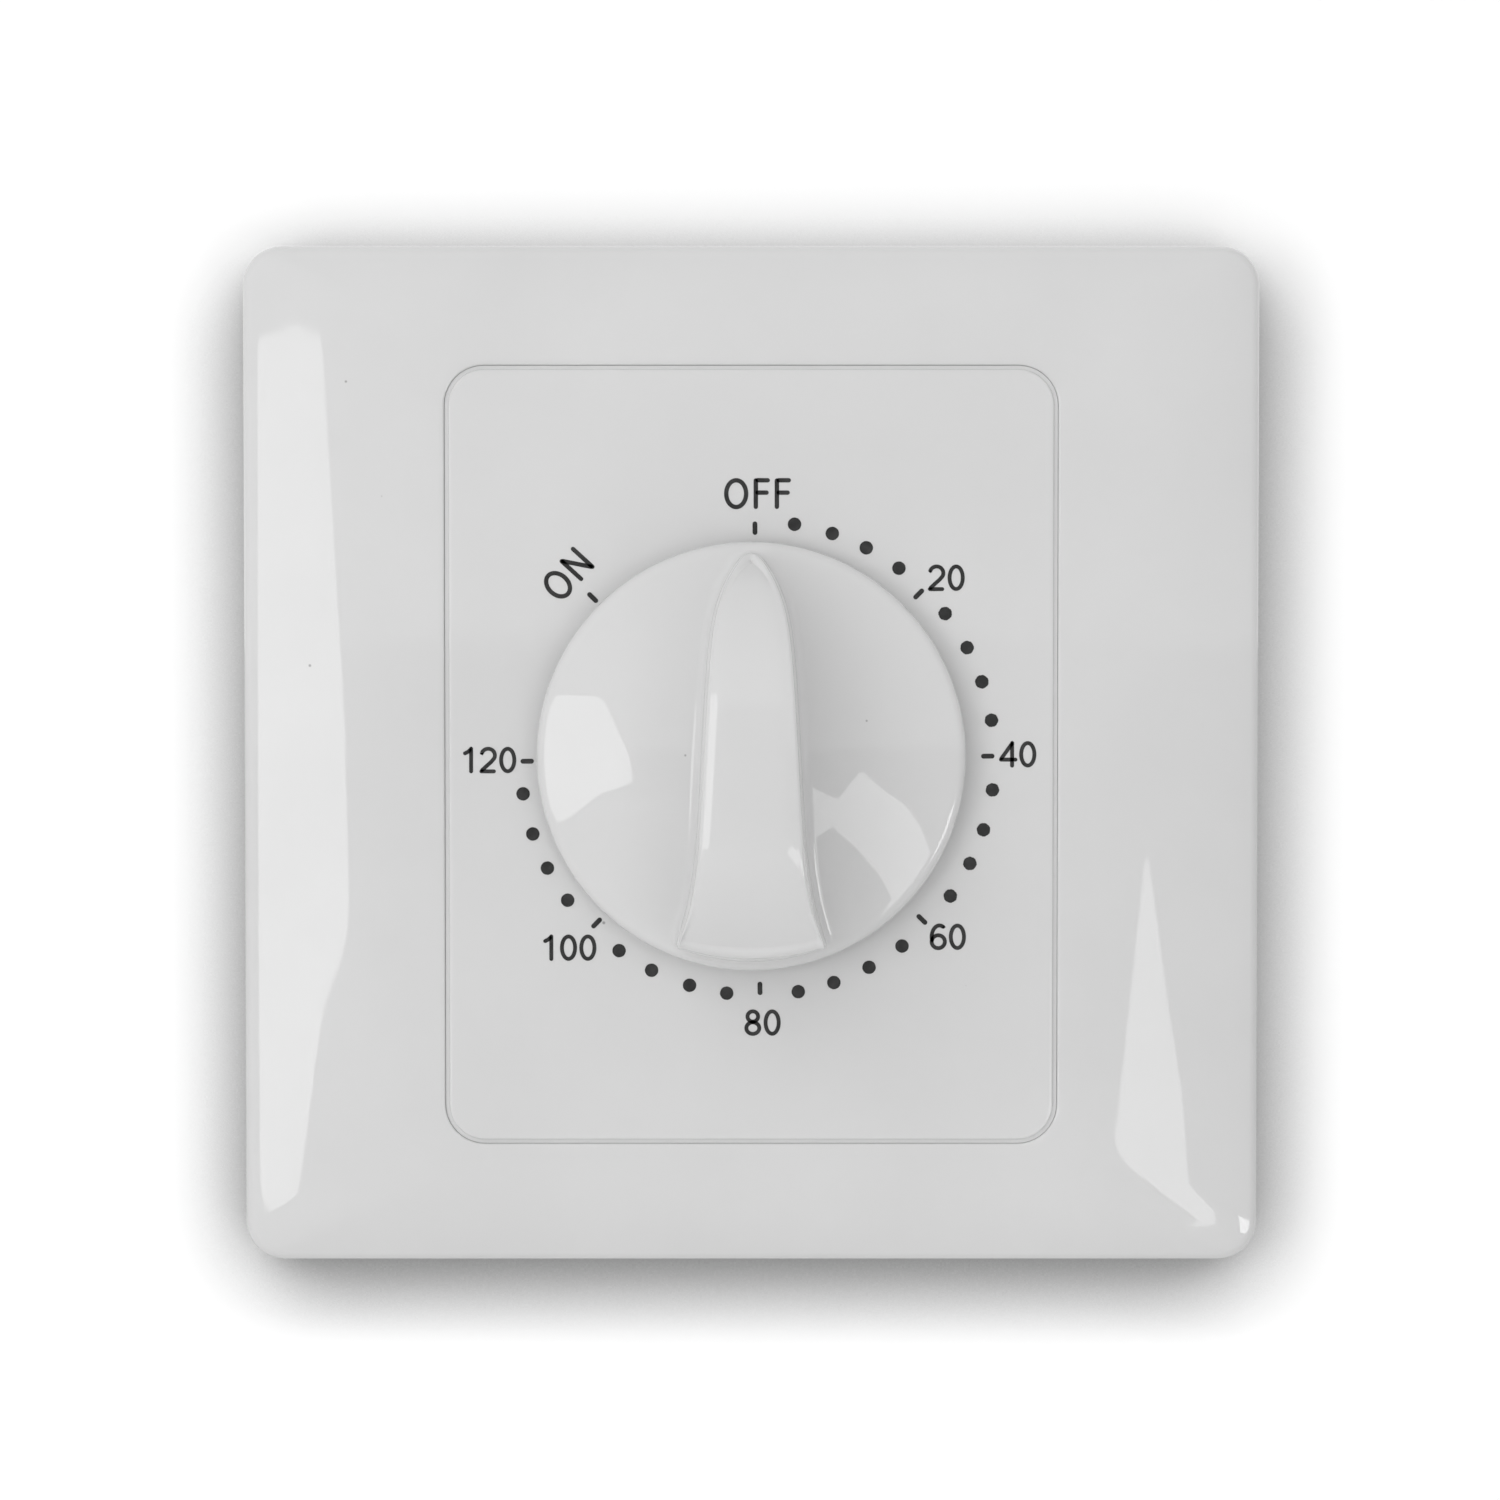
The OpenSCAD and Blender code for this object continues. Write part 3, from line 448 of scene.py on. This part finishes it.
# the grip's foot seen from the front: its right half from the tail's middle to the tip, evenly walked both
# along its edge and in angle about the shaft, and its mirror image
def gripOutline():
    p = pointerKnob
    low, high = p["width"][0][0], p["width"][-1][0]
    levels = [low + (high - low) * k / p["levels"] for k in range(p["levels"] + 1)]
    right = [(through(p["width"], v), v) for v in levels]
    corner = atan2(right[0][1], right[0][0])
    turns = [-pi / 2 + (corner + pi / 2) * k / p["tailSteps"] for k in range(p["tailSteps"])]
    half = [(p["tail"] * cos(a), p["tail"] * sin(a)) for a in turns] + right
    half.append((0, right[-1][1]))
    for _ in range(p["softenings"]):  # soften the corners
        middle = [((a[0] + 2 * b[0] + c[0]) / 4, (a[1] + 2 * b[1] + c[1]) / 4)
                  for a, b, c in zip(half, half[1:], half[2:])]
        half = half[:1] + middle + half[-1:]
    walk = [0]
    for a, b in zip(half, half[1:]):
        turn = abs(atan2(b[1], b[0]) - atan2(a[1], a[0])) / radians(p["turnSpacing"])
        walk.append(walk[-1] + hypot(b[0] - a[0], b[1] - a[1]) / p["spacing"] + turn)
    count = int(walk[-1])
    even, k = [], 0
    for n in range(count + 1):
        want = walk[-1] * n / count
        while k + 2 < len(walk) and walk[k + 1] < want:
            k += 1
        t = (want - walk[k]) / (walk[k + 1] - walk[k])
        a, b = half[k], half[k + 1]
        even.append((a[0] + (b[0] - a[0]) * t, a[1] + (b[1] - a[1]) * t))
    return even + [(-u, v) for u, v in reversed(even[1:-1])]


# radius of the ball that the disc's dome is cut from
def ballRadius():
    p = pointerKnob
    return (p["radius"] ** 2 + p["dome"] ** 2) / (2 * p["dome"])


def domeAt(r):
    p = pointerKnob
    ball = ballRadius()
    return p["rim"] + p["dome"] - ball + sqrt(ball ** 2 - r ** 2)


# height of the grip's ridge: level, a round nose at the tip, a gentler fall at the tail
def ridgeAt(v):
    p = pointerKnob
    if v > p["noseFrom"]:
        t = min(1, (v - p["noseFrom"]) / (p["noseEnd"] - p["noseFrom"]))
        low = p["rim"] + p["noseLow"]
        early, late = p["nosePowers"]
        return low + (p["top"] - low) * (1 - t ** early) ** late
    if v < p["tailFrom"]:
        t = (p["tailFrom"] - v) / (p["tailFrom"] - p["tailEnd"])
        return p["top"] - p["tailDrop"] * t ** 2
    return p["top"]


# top of the grip at any place: the ridge, falling a little towards the sides
def topAt(u, v):
    p = pointerKnob
    half = max(p["crownLeast"], halfWidth(v) - p["crownIn"])
    return ridgeAt(v) - p["crown"] * min(1, abs(u) / half) ** 4


# where a point of the grip's foot comes up to on the top, drawn in at the sides, the tail and the tip
def gripTop(u, v, tall):
    p = pointerKnob
    tip = p["width"][-1][0]
    drawn = max(p["drawnLeast"], 1 - (p["draft"] * tall + p["edgeRound"]) / halfWidth(v))
    tail = max(0, (p["tailBlend"] - v) / (p["tailBlend"] + p["tail"]))
    nose = max(0, (v - p["noseBlend"]) / (tip - p["noseBlend"]))
    return u * drawn, v + p["tailInset"] * tail ** 2 - p["noseInset"] * nose ** 2


# at each point of the outline: its foot, its top, the way outwards and the roundings
def gripColumns():
    p = pointerKnob
    outline = gripOutline()
    n, near = len(outline), p["slopeReach"]
    columns = []
    for k in range(n):
        u, v = outline[k]
        (ua, va), (ub, vb) = outline[k - near], outline[(k + near) % n]
        length = hypot(ub - ua, vb - va)
        nu, nv = (vb - va) / length, (ua - ub) / length
        base = domeAt(min(hypot(u, v), p["discEnd"]))
        tall = max(ridgeAt(v) - base, p["tallLeast"])
        topU, topV = gripTop(u, v, tall)
        top = max(topAt(topU, topV), base + p["tallLeast"])
        end = max(0, -nv - p["tailFacing"])  # grows towards the tail's end face
        lean = p["draft"] * tall + p["tailLean"] * end
        edge = p["edgeRound"] + p["tailRound"] * end + p["noseRound"] * max(0, nv - p["noseFacing"])
        room = max(p["rimIn"] - p["rimRoom"] - hypot(u, v), p["footLeast"])
        most = p["roundShare"] * (top - base)
        columns.append({
            "u": u, "v": v, "nu": nu, "nv": nv, "base": base, "top": top, "topU": topU, "topV": topV,
            "lean": lean / (lean + edge), "edge": min(edge, most), "foot": min(p["footRound"], most, room)})
    return columns


# radius and height of the rim, the underside, the hub and the bore
def turnedProfile():
    p = pointerKnob
    rimIn, foot = p["rimIn"], p["foot"]
    begin = asin(rimIn / ballRadius())
    profile = []
    for k in range(1, p["rimSteps"] + 1):  # rounded rim
        a = begin + (pi / 2 - begin) * k / p["rimSteps"]
        reach = (sin(a) - sin(begin)) / (1 - sin(begin))
        fall = p["rimRound"] * (cos(begin) - cos(a))
        profile.append((rimIn + (p["radius"] - rimIn) * reach, domeAt(rimIn) - fall))
    inside = p["radius"] - p["wall"]
    profile += [(p["radius"], foot + p["rimFoot"]), (p["radius"] - p["rimFoot"], foot)]
    profile += [(inside, foot), (inside, foot + p["underUp"])]
    profile += [(r, domeAt(r) - p["wall"]) for r in (inside - p["underIn"], *p["underAt"], p["hub"])]
    profile += [(r, foot + p["hubUp"]) for r in (p["hub"], p["bore"])]
    return profile + [(p["bore"], p["boreEnd"])]


def buildKnob():
    p = pointerKnob
    columns = gripColumns()

    def inwards(c, share):
        return c["u"] + (c["topU"] - c["u"]) * share, c["v"] + (c["topV"] - c["v"]) * share

    def outwards(c, by):
        return c["u"] + c["nu"] * by, c["v"] + c["nv"] * by

    rings = []
    for s in p["topRings"]:  # across the top of the ridge
        ring = []
        for c in columns:
            pull = max(p["ridge"][0], min(p["ridge"][1], c["topV"]))
            v = pull + (c["topV"] - pull) * s
            ring.append(spot(c["topU"] * s, v, topAt(c["topU"] * s, v)))
        rings.append(ring)
    for k in range(p["edgeSteps"] + 1):  # rounded upper edge
        a = k / p["edgeSteps"] * pi / 2
        ring = []
        for c in columns:
            u, v = inwards(c, 1 - (1 - c["lean"]) * sin(a))
            ring.append(spot(u, v, c["top"] - c["edge"] * (1 - cos(a))))
        rings.append(ring)
    for t in p["sideRings"]:  # drafted side
        ring = []
        for c in columns:
            high, low = c["top"] - c["edge"], c["base"] + c["foot"]
            u, v = inwards(c, c["lean"] * (1 - t))
            ring.append(spot(u, v, high + (low - high) * t))
        rings.append(ring)
    for k in range(p["footSteps"] + 1):  # hollow fillet down to the disc
        a = k / p["footSteps"] * pi / 2
        ends = [outwards(c, c["foot"] * (1 - cos(a))) for c in columns]
        ring = []
        for c, (u, v) in zip(columns, ends):
            floor = domeAt(min(hypot(u, v), p["discEnd"]))
            ring.append(spot(u, v, floor + c["foot"] * (1 - sin(a))))
        rings.append(ring)
    angles = [atan2(v, u) for u, v in ends]
    for t in p["discRings"]:  # domed disc
        ring = []
        for (u, v), a in zip(ends, angles):
            u, v = u + (p["rimIn"] * cos(a) - u) * t, v + (p["rimIn"] * sin(a) - v) * t
            ring.append(spot(u, v, domeAt(hypot(u, v))))
        rings.append(ring)
    for r, out in turnedProfile():
        rings.append([spot(r * cos(a), r * sin(a), out) for a in angles])
    bm = bmesh.new()
    ring = startRing(bm, rings[0])
    for points in rings[1:]:
        ring = growRing(bm, ring, points)
    bmesh.ops.contextual_create(bm, geom=ringEdges(bm, ring))
    bmesh.ops.remove_doubles(bm, verts=bm.verts, dist=coarseWeld)
    piece = makePiece(bm, "pointerKnob", "knob_shaft", knobGloss, sharp=50)
    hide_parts("knob")


buildKnob()
print("knob made")


# printed dial: strokes drawn with a flat nib, dots and ticks

dialPrint = {
    "centre": (0.53, -0.27), "turn": 0.63, "face": 9.004, "thick": 0.02,
    "tickRing": 19.42, "ticks": 8, "tick": (1.05, 0.41),
    "dotRing": 19.99, "dot": 0.57, "dotSteps": 36, "dotPlaces": [k for k in range(30) if k % 5],
    "ragged": 0.05, "clean": 0.015, "raggedSpan": (50, 130), "raggedWaves": (2.7, 5.1),
    # degrees by which each dot lies clockwise of its even place
    "dotStep": 9, "dotShift": [
        0.6, 1.0, 0.9, 1.2, -1.1, -0.3, -0.3, 0.3, -0.8, 0.1, -0.1, 0.1,
        -1.0, -0.5, -0.2, -0.3, -0.9, -0.7, 0.2, 0.4, -0.1, 0.1, 0.1, 1.1],
    # where each text stands, and its turn
    "digit": 2.18, "digitStroke": 0.33, "digits": {
        "20": (16.42, 14.98, 0), "40": (22.48, 0.1, 0), "60": (16.57, -15.32, 0),
        "80": (0.93, -22.58, 0), "100": (-15.45, -16.24, 0), "120": (-22.19, -0.38, 0)},
    "letter": 2.5, "letterStroke": 0.37, "letters": {"OFF": (0.75, 22.05, 0), "ON": (-15.43, 15.3, 47.5)},
    "glyphGap": 0.12, "capIn": 0.8, "capTurns": (0, 0.35, 0.7, 1.05, 1.3, 1.5),
}


def arcPath(cu, cv, ru, rv, a0, a1, steps=28):
    turns = [radians(a0 + (a1 - a0) * k / steps) for k in range(steps + 1)]
    return [(cu + ru * cos(a), cv + rv * sin(a)) for a in turns]


# each glyph: its advance and its strokes, in a cell one unit high
glyphs = {
    "0": (0.75, [arcPath(0.386, 0.5, 0.255, 0.435, 0, 360, 48)]),
    "1": (0.75, [[(0.47, 0.0), (0.47, 1.0)], [(0.47, 0.93), (0.36, 0.82), (0.18, 0.73)]]),
    "2": (0.75, [
        arcPath(0.38, 0.68, 0.26, 0.255, 172, -28) + [(0.5, 0.43), (0.3, 0.25), (0.16, 0.12), (0.11, 0.06)],
        [(0.06, 0.06), (0.66, 0.06)]]),
    "4": (0.75, [
        [(0.53, 0.0), (0.53, 1.0)], [(0.55, 0.95), (0.085, 0.295)], [(0.04, 0.295), (0.72, 0.295)]]),
    "6": (0.75, [arcPath(0.395, 0.31, 0.255, 0.25, 0, 360, 44), arcPath(0.44, 0.5, 0.3, 0.44, 52, 205, 32)]),
    "8": (0.75, [
        arcPath(0.386, 0.735, 0.205, 0.2, 0, 360, 40), arcPath(0.386, 0.285, 0.25, 0.225, 0, 360, 44)]),
    "O": (0.99, [arcPath(0.4, 0.5, 0.335, 0.45, 0, 360, 52)]),
    "F": (0.71, [[(0.07, 0.0), (0.07, 1.0)], [(0.07, 0.95), (0.53, 0.95)], [(0.07, 0.535), (0.49, 0.535)]]),
    "N": (0.8, [[(0.08, 0.0), (0.08, 1.0)], [(0.64, 0.0), (0.64, 1.0)], [(0.08, 0.96), (0.64, 0.04)]]),
}


# places along a stroke with the nib's share of its full width; open strokes get round ends
def nibStops(path, width, closed):
    p = dialPrint
    stops = [(u, v, 1) for u, v in (path[:-1] if closed else path)]
    if closed:
        return stops
    for end, inner in ((0, 1), (-1, -2)):
        (u, v), (innerU, innerV) = path[end], path[inner]
        size = hypot(u - innerU, v - innerV)
        du, dv = (u - innerU) / size * width / 2, (v - innerV) / size * width / 2
        reach = [(sin(a) - p["capIn"], cos(a)) for a in p["capTurns"]]
        cap = [(u + du * by, v + dv * by, share) for by, share in reach]
        stops = cap[::-1] + stops[1:] if end == 0 else stops[:-1] + cap
    return stops


# sweeps a nib edge along a path by extruding it step by step
def sweepNib(bm, path, width):
    face = dialPrint["face"]
    closed = hypot(path[0][0] - path[-1][0], path[0][1] - path[-1][1]) < 1e-6
    stops = nibStops(path, width, closed)
    last = first = ends = None
    for k, (u, v, share) in enumerate(stops):
        before = stops[k - 1] if closed or k else stops[0]
        after = stops[(k + 1) % len(stops)] if closed or k + 1 < len(stops) else stops[-1]
        du, dv = after[0] - before[0], after[1] - before[1]
        size = hypot(du, dv)
        nu, nv = -dv / size * width / 2 * share, du / size * width / 2 * share
        left, right = spot(u + nu, v + nv, face), spot(u - nu, v - nv, face)
        if last is None:
            ends = (bm.verts.new(left), bm.verts.new(right))
            last = first = bm.edges.new(ends)
            continue
        made = bmesh.ops.extrude_edge_only(bm, edges=[last])["geom"]
        ends = pulledFrom(ends, made)
        ends[0].co, ends[1].co = left, right
        last = bm.edges.get(ends)
    if closed:
        bmesh.ops.bridge_loops(bm, edges=[last, first])


def drawText(bm, text, place, height, stroke):
    gap = dialPrint["glyphGap"]
    atU, atV, turn = place
    pen = (gap - sum(glyphs[c][0] for c in text)) / 2
    c, s = cos(radians(turn)), sin(radians(turn))
    for letter in text:
        advance, strokes = glyphs[letter]
        for path in strokes:
            placed = []
            for x, y in path:
                u, v = (pen + x - gap / 2) * height, (y - 0.5) * height
                placed.append((atU + u * c - v * s, atV + u * s + v * c))
            sweepNib(bm, placed, stroke)
        pen += advance


def drawTicks(bm):
    p = dialPrint
    (cu, cv), (length, width) = p["centre"], p["tick"]
    for k in range(p["ticks"]):
        a = radians(90 - 360 / p["ticks"] * k + p["turn"])
        radii = (p["tickRing"] - length / 2, p["tickRing"] + length / 2)
        sweepNib(bm, [(cu + r * cos(a), cv + r * sin(a)) for r in radii], width)


# four dots between each two ticks of the scale, some with ragged edges
def drawDots(bm):
    p = dialPrint
    (cu, cv), (slow, quick) = p["centre"], p["raggedWaves"]
    for k, shift in zip(p["dotPlaces"], p["dotShift"]):
        clock = p["dotStep"] * k + shift
        a = radians(90 - clock + p["turn"])
        ragged = p["ragged"] if p["raggedSpan"][0] < clock < p["raggedSpan"][1] else p["clean"]
        dot = bmesh.ops.create_circle(bm, cap_ends=True, segments=p["dotSteps"], radius=p["dot"] * mm)
        made = dot["verts"]
        for n, w in enumerate(made):
            w.co *= 1 + ragged * (sin(n * slow + k) + sin(n * quick + 3 * k)) / 2
        bmesh.ops.rotate(bm, verts=made, cent=(0, 0, 0), matrix=Matrix.Rotation(pi / 2, 3, "X"))
        at = spot(cu + p["dotRing"] * cos(a), cv + p["dotRing"] * sin(a), p["face"])
        bmesh.ops.translate(bm, verts=made, vec=at)


def buildPrint():
    p = dialPrint
    bm = bmesh.new()
    for text, place in p["digits"].items():
        drawText(bm, text, place, p["digit"], p["digitStroke"])
    for text, place in p["letters"].items():
        drawText(bm, text, place, p["letter"], p["letterStroke"])
    drawTicks(bm)
    drawDots(bm)
    bmesh.ops.recalc_face_normals(bm, faces=bm.faces)
    for f in bm.faces:
        if f.normal.y > 0:
            f.normal_flip()
    skin = bmesh.ops.extrude_face_region(bm, geom=list(bm.faces))["geom"]
    raised = [w for w in skin if isinstance(w, bmesh.types.BMVert)]
    bmesh.ops.translate(bm, verts=raised, vec=spot(0, 0, p["thick"]))
    makePiece(bm, "dialPrint", "housing", dialInk, sharp=30)


buildPrint()
print("dial print made")


# pieces that keep their CAD shape: finishes, and softened edges where they show from behind

nodeFinish = {
    "case_screws": zincScrew, "panel_screws": zincScrew, "block_screws": zincScrew,
    "terminal_screws": zincScrew, "front_plate": rolledSteel, "back_plate": rolledSteel,
    "pillars": rolledSteel, "main_shaft": rolledSteel, "spring_post": rolledSteel,
    "second_arbor": rolledSteel, "third_arbor": rolledSteel, "escape_arbor": rolledSteel,
    "pallet_lever": rolledSteel, "pallet_arbor": rolledSteel, "shaft_bush": turnedBrass,
    "great_wheel": turnedBrass, "second_wheel": turnedBrass, "third_wheel": turnedBrass,
    "escape_wheel": turnedBrass, "fixed_contact": turnedBrass, "moving_contact": turnedBrass,
    "left_terminal": turnedBrass, "right_terminal": turnedBrass, "knob_clip": bluedSteel,
    "clutch_washer": bluedSteel, "mainspring": bluedSteel, "cam": camPlastic, "contact_block": phenolic,
    "fixed_tip": silverTip, "moving_tip": silverTip, "mounting_frame": rearPlastic, "rear_case": rearPlastic,
}
for name, finish in nodeFinish.items():
    mesh = nodes[name].data
    mesh.materials.clear()
    mesh.materials.append(finish)

# width of the softened edge in mm, body and slot
softEdges = {
    "rear_case": (0.35, "housing", "white_matt"), "mounting_frame": (0.2, "housing", "white_matt"),
    "left_terminal": (0.25, "housing", "brass"), "right_terminal": (0.25, "housing", "brass"),
    "terminal_screws": (0.15, "housing", "screw_steel"), "case_screws": (0.1, "housing", "screw_steel"),
    "block_screws": (0.1, "housing", "screw_steel"), "moving_contact": (0.08, "housing", "brass"),
}
flatAngle, creaseAngle = radians(1), radians(35)
# the contact's leaf is drawn as the cam's rim lifts it: its nose ends just off the rim
leafNose = {"node": "moving_contact", "end": 7.0, "near": 0.05, "high": 0.6, "lifted": 7.75}


def liftNose(bm):
    n = leafNose
    ends = [v for v in bm.verts if abs(v.co.x / mm - n["end"]) < n["near"] and abs(v.co.z / mm) < n["high"]]
    bmesh.ops.translate(bm, verts=ends, vec=spot(n["lifted"] - n["end"], 0, 0))


def softenNode(name, width, body):
    bm = bmesh.new()
    bm.from_mesh(nodes[name].data)
    bmesh.ops.remove_doubles(bm, verts=bm.verts, dist=coarseWeld)
    if name == leafNose["node"]:
        liftNose(bm)
    bmesh.ops.dissolve_limit(bm, angle_limit=flatAngle, verts=bm.verts, edges=bm.edges)
    edges = [e for e in bm.edges if len(e.link_faces) == 2 and e.calc_face_angle(0) > creaseAngle]
    bmesh.ops.bevel(
        bm, geom=edges, offset=width * mm, segments=2, profile=0.5, affect="EDGES", material=-1,
        clamp_overlap=True)
    piece = makePiece(bm, "soft_" + name, body, nodeFinish[name], sharp=25)
    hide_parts(name)


for name, (width, body, slot) in softEdges.items():
    softenNode(name, width, body)
print("rear pieces softened")


# wall, floor, light and camera

studio = {
    "wallSize": 0.5, "wallHole": 0.0254, "wallAt": 0.0003, "wallGrey": 0.96, "wallGlow": 0.17,
    "floorSize": 40.0, "floorAt": -0.26, "floorGrey": 0.82, "floorGlow": 0.3, "ambient": 0.665,
    "shadeFrom": (0, -0.9, 0.42), "shadeReach": 0.0088, "shadeSamples": 8,
    "shadeDark": 0.08, "shadeDarkAt": 0.4, "shadePaleAt": 0.97,
    "camera": 0.42, "cameraUp": 2.1, "cameraAim": (-0.0001, -0.005, 0), "shownWidth": 0.1277,
    "sensor": 36, "shift": 0.0025, "clipStart": 0.01,
}


# painted soft shade on the wall close to the plate, a little stronger below it
def shadeNode(tree, level):
    p = studio
    lean = tree.nodes.new("ShaderNodeCombineXYZ")
    for axis, value in zip("XYZ", p["shadeFrom"]):
        lean.inputs[axis].default_value = value
    near = tree.nodes.new("ShaderNodeAmbientOcclusion")
    near.samples = p["shadeSamples"]
    near.inputs["Distance"].default_value = p["shadeReach"]
    tree.links.new(lean.outputs[0], near.inputs["Normal"])
    stops = [(p["shadeDarkAt"], grey(p["shadeDark"] * level)), (p["shadePaleAt"], grey(level))]
    return rampNode(tree, near.outputs["AO"], stops)


def mathNode(tree, operation, first, second):
    node = tree.nodes.new("ShaderNodeMath")
    node.operation = operation
    tree.links.new(first, node.inputs[0])
    if isinstance(second, bpy.types.NodeSocket):
        tree.links.new(second, node.inputs[1])
    else:
        node.inputs[1].default_value = second
    return node.outputs[0]


def mixShaders(tree, share, first, second):
    node = tree.nodes.new("ShaderNodeMixShader")
    for source, target in zip((share, first, second), node.inputs):
        tree.links.new(source, target)
    return node.outputs[0]


def stageFinish(name, level, glow, oneSided):
    finish, tree, shader = newFinish(name)
    tree.nodes.remove(shader)
    paint = tree.nodes.new("ShaderNodeBsdfDiffuse")
    paint.inputs["Color"].default_value = (*grey(level), 1)
    if oneSided:
        # painted shade: the wall's colour is darkened near the plate
        tree.links.new(shadeNode(tree, level), paint.inputs["Color"])
    seen = tree.nodes.new("ShaderNodeLightPath").outputs["Is Camera Ray"]
    shine = tree.nodes.new("ShaderNodeEmission")
    tree.links.new(mathNode(tree, "MULTIPLY", seen, glow), shine.inputs["Strength"])
    both = tree.nodes.new("ShaderNodeAddShader")
    tree.links.new(paint.outputs[0], both.inputs[0])
    tree.links.new(shine.outputs[0], both.inputs[1])
    surface = both.outputs[0]
    if oneSided:  # seen straight on, and from the front only
        clear = tree.nodes.new("ShaderNodeBsdfTransparent").outputs[0]
        behind = tree.nodes.new("ShaderNodeNewGeometry").outputs["Backfacing"]
        surface = mixShaders(tree, mathNode(tree, "GREATER_THAN", seen, behind), clear, surface)
    tree.links.new(surface, tree.nodes["Material Output"].inputs["Surface"])
    return finish


def stageSheet(name, size, hole, turn, at, finish):
    bm = bmesh.new()
    bmesh.ops.create_grid(bm, x_segments=1, y_segments=1, size=size / 2)
    if hole:
        bmesh.ops.inset_region(
            bm, faces=bm.faces[:], thickness=size / 2 - hole, use_boundary=True, use_even_offset=True)
        middle = min(bm.faces, key=lambda f: f.calc_area())
        bmesh.ops.delete(bm, geom=[middle], context="FACES_ONLY")
    bmesh.ops.rotate(bm, verts=bm.verts, cent=(0, 0, 0), matrix=Matrix.Rotation(turn, 3, "X"))
    bmesh.ops.translate(bm, verts=bm.verts, vec=at)
    sheet = linkMesh(bm, name, finish)


wallPaint = stageFinish("wallPaint", studio["wallGrey"], studio["wallGlow"], True)
stageSheet("wallSheet", studio["wallSize"], studio["wallHole"], pi / 2, (0, studio["wallAt"], 0), wallPaint)
floorPaint = stageFinish("floorPaint", studio["floorGrey"], studio["floorGlow"], False)
stageSheet("floorSheet", studio["floorSize"], 0, 0, (0, 0, studio["floorAt"]), floorPaint)

# white to the camera and to gloss, softer as light
world = bpy.data.worlds.new("studioWorld")
bpy.context.scene.world = world
world.use_nodes = True
tree = world.node_tree
tree.nodes.clear()
soft = tree.nodes.new("ShaderNodeBackground")
soft.inputs["Color"].default_value = (1, 1, 1, 1)
soft.inputs["Strength"].default_value = studio["ambient"]
white = tree.nodes.new("ShaderNodeBackground")
white.inputs["Color"].default_value = (1, 1, 1, 1)
rays = tree.nodes.new("ShaderNodeLightPath")
bare = mathNode(tree, "MAXIMUM", rays.outputs["Is Camera Ray"], rays.outputs["Is Glossy Ray"])
sky = mixShaders(tree, bare, soft.outputs[0], white.outputs[0])
tree.links.new(sky, tree.nodes.new("ShaderNodeOutputWorld").inputs["Surface"])

# windows and a side light that the gloss mirrors: brightness, distance out, and corners across and up in mm
cards = {
    "leftWindow": (3.2, 400, [
        (-188, 60), (-242, 64), (-362, 68), (-370, -40), (-365, -110), (-268, -109), (-236, -96),
        (-211, -77), (-188, -60), (-160, -52), (-144, -45), (-150, -10)]),
    "rightWindow": (2.9, 400, [
        (134, -30), (166, -57), (196, -77), (217, -104), (242, -150), (222, -206), (160, -266),
        (188, -206), (163, -165), (128, -124), (104, -104), (90, -83)]),
    "sideLight": (6, 400, [(325, -113), (600, -150), (600, -280), (325, -235)]),
}
cardRounding = 7
for name, (light, out, corners) in cards.items():
    finish, tree, shader = newFinish(name)
    tree.nodes.remove(shader)
    glow = tree.nodes.new("ShaderNodeEmission")
    glow.inputs["Strength"].default_value = light
    tree.links.new(glow.outputs[0], tree.nodes["Material Output"].inputs["Surface"])
    bm = bmesh.new()
    startRing(bm, [spot(*c, out) for c in corners])
    bmesh.ops.contextual_create(bm, geom=bm.edges[:])
    bmesh.ops.bevel(
        bm, geom=bm.verts[:], offset=cardRounding * mm, segments=4, profile=0.5, affect="VERTICES",
        material=-1, clamp_overlap=True)
    card = linkMesh(bm, name, finish)
    card.visible_diffuse = name != "sideLight"
    card.visible_camera = False
    card.visible_shadow = False


def facing(place, aim):
    away = Vector(place) - Vector(aim)
    return Matrix.Translation(place) @ away.to_track_quat("Z", "Y").to_matrix().to_4x4()


# place, point looked at, width, height, watts
lamps = {
    "skySoft": ((-0.74, -1.23, 0.7), (0, 0, 0), 1.4, 1.4, 5.5),
    "backSoft": ((0.5, 1.1, 0.9), (0, 0, 0), 1.2, 1.2, 4.0),
}
for name, (place, aim, wide, tall, watts) in lamps.items():
    light = bpy.data.lights.new(name, "AREA")
    light.shape = "RECTANGLE"
    light.size, light.size_y = wide, tall
    light.energy = watts
    lamp = bpy.data.objects.new(name, light)
    lamp.matrix_world = facing(place, aim)
    lamp.visible_camera = False
    lamp.visible_glossy = False
    bpy.context.collection.objects.link(lamp)

camera = bpy.data.cameras.new("photoCamera")
camera.sensor_width = studio["sensor"]
camera.lens = studio["sensor"] * studio["camera"] / studio["shownWidth"]
camera.shift_y = studio["shift"]
camera.clip_start = studio["clipStart"]
view = bpy.data.objects.new("photoCamera", camera)
tilt = radians(studio["cameraUp"])
aim = Vector(studio["cameraAim"])
view.matrix_world = facing(aim + Vector((0, -cos(tilt), sin(tilt))) * studio["camera"], aim)
bpy.context.collection.objects.link(view)
bpy.context.scene.camera = view
bpy.context.scene.view_settings.view_transform = "Standard"
print("studio set")
